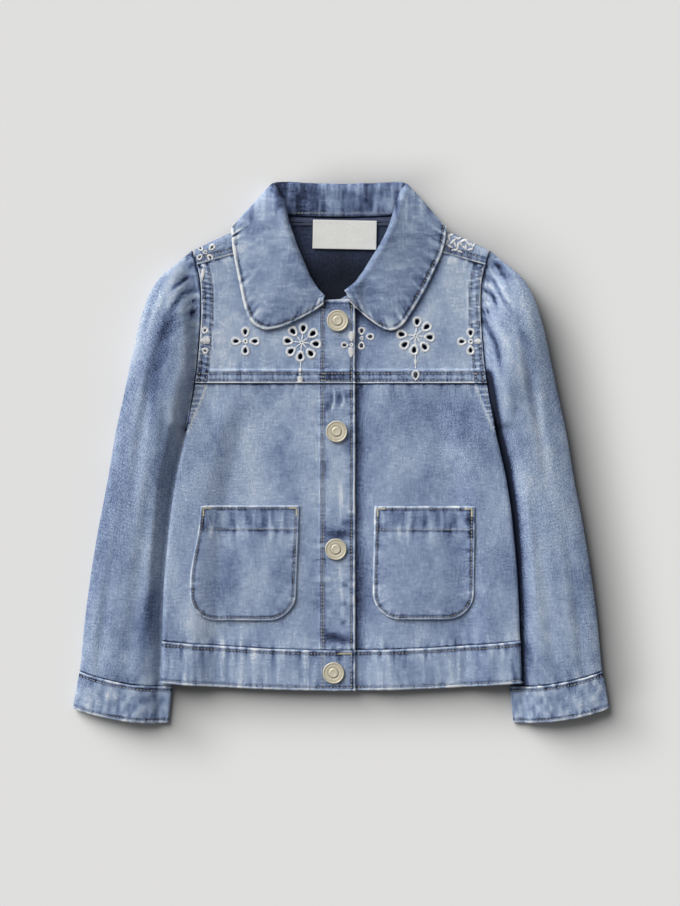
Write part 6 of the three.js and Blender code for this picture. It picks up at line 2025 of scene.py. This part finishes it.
def floor():
    """The floor, with the jacket's soft shade on it, which falls away from the window."""
    x_at = np.arange(SHADE_BOX["left"], SHADE_BOX["right"] + FLOOR_STEP, FLOOR_STEP)
    y_at = np.arange(SHADE_BOX["low"], SHADE_BOX["high"] + FLOOR_STEP, FLOOR_STEP)
    x, y = np.meshgrid(x_at, y_at)
    covered = footprint(x, y).astype(float)
    open_share = np.ones(x.shape)
    for towards, length, depth in SHADES:
        shade = np.zeros(x.shape)
        for step in range(SHADE_STEPS):
            reach = length * (step + 0.5) / SHADE_STEPS
            across, up = (round(reach * part / FLOOR_STEP) for part in towards)
            moved = np.roll(covered, (-up, -across), (0, 1))
            spread = 3 + 0.25 * reach
            blur_x, blur_y = (bell(at[:, None] - at[None], spread) for at in (x_at, y_at))
            blur_x, blur_y = (blur / blur.sum(axis=1, keepdims=True) for blur in (blur_x, blur_y))
            shade += blur_y @ moved @ blur_x.T / SHADE_STEPS
        open_share *= 1 - depth * shade
    edge_x = np.minimum(x - SHADE_BOX["left"], SHADE_BOX["right"] - x)
    edge_y = np.minimum(y - SHADE_BOX["low"], SHADE_BOX["high"] - y)
    shade = np.pad((1 - open_share) * smooth(0, 20, np.minimum(edge_x, edge_y)), 1)
    x, y = np.meshgrid(*(np.concatenate([[-FLOOR_HALF], at, [FLOOR_HALF]]) for at in (x_at, y_at)))
    faces, _ = grid_faces(*x.shape)
    paint = Paint("pale_floor", Roughness=0.9)
    shaded = paint.node("ShaderNodeAttribute", {"attribute_name": "fade"}, output=2)
    paint.finish(Base_Color=paint.ramp(shaded, (0, srgb(228, 228, 228)), (1, srgb(0, 0, 0))))
    points = joined(x, y, 0).reshape(-1, 3)
    mesh_object("floor", points, faces.tolist(), (paint.material,), fade=shade.ravel())


def sun(name, direction, strength, softness, colour):
    """Soft light that comes from far away in a direction."""
    lamp = bpy.data.lights.new(name, "SUN")
    lamp.energy = strength
    lamp.angle = math.radians(softness)
    lamp.color = colour
    holder = bpy.data.objects.new(name, lamp)
    holder.rotation_euler = Vector(direction).to_track_quat("Z", "Y").to_euler()
    bpy.context.scene.collection.objects.link(holder)


LENS = 85
SENSOR = 36
VIEW_HEIGHT = 0.728
CAMERA_X = -0.0008
CAMERA_Y = -0.0008


def camera():
    data = bpy.data.cameras.new("camera")
    data.lens = LENS
    data.sensor_width = SENSOR
    holder = bpy.data.objects.new("camera", data)
    holder.location = (CAMERA_X, CAMERA_Y, VIEW_HEIGHT * LENS / SENSOR)
    bpy.context.scene.collection.objects.link(holder)
    bpy.context.scene.camera = holder


def studio():
    world = bpy.data.worlds.new("studio")
    bpy.context.scene.world = world
    world.use_nodes = True
    background = world.node_tree.nodes["Background"]
    background.inputs["Color"].default_value = (0.97, 0.98, 1, 1)
    background.inputs["Strength"].default_value = 0.26
    sun("window", (-0.62, 0.72, 0.56), 4.3, 44, (1, 0.99, 0.97))
    bpy.context.scene.view_settings.view_transform = "Standard"


camera()
studio()
floor()


def keep(piece, node, slot):
    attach(piece, "root")
    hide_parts(node)


# The grids of points that rows of topstitching follow
surfaces = {}
for side in ("right", "left"):
    keep(front(side), f"front_{side}", "denim")
    keep(yoke(side), f"yoke_{side}", "denim")
    keep(sleeve(side), f"sleeve_{side}", "denim")
    made, surfaces[f"cuff_{side}"] = cuff(side)
    keep(made, f"cuff_{side}", "denim")
keep(back(), "back_panel", "denim")
keep(hem_band(), "hem_band", "denim")
made, surfaces["collar"] = collar()
keep(made, "collar", "denim")
for sizes in POCKETS:
    keep(pocket(sizes), f"pocket_{sizes['side']}", "denim")
for name, x, y in BUTTONS:
    keep(button(name, x, y), name, "button_metal")
tape_seat = COLLAR_LIFT + WALL + SEAM_GAP
keep(strip("neck_tape_cloth", NECK_TAPE, tape_seat, TAPE_CLOTH), "neck_tape", "neck_tape")
label_seat = tape_seat + NECK_TAPE["thickness"] + SEAM_GAP
keep(strip("neck_label_cloth", LABEL, label_seat, LABEL_CLOTH), "neck_label", "woven_label")

THREADS = threads_tree()
ECRU = yarn("ecru_thread", srgb(186, 184, 170), srgb(126, 127, 122))
TAN = yarn("tan_thread", srgb(206, 198, 168), srgb(158, 150, 122))
WHITE = yarn("white_thread", srgb(242, 242, 240), srgb(206, 208, 212))
# Dark thread that stands in for the shade inside the eyelets' holes
HOLE_SHADE_THREAD = yarn("shaded_thread", srgb(34, 40, 62), srgb(14, 16, 26))
sewn("topstitching", topstitching(), ECRU, 0.12, 5)
sewn("bar_tacks", bar_tacks(), TAN, 0.15, 7)
sewn("eyelet_embroidery", embroidery(), WHITE, 0.1, 9)
sewn("eyelet_spots", eyelet_spots(), HOLE_SHADE_THREAD, 0.1, 11)
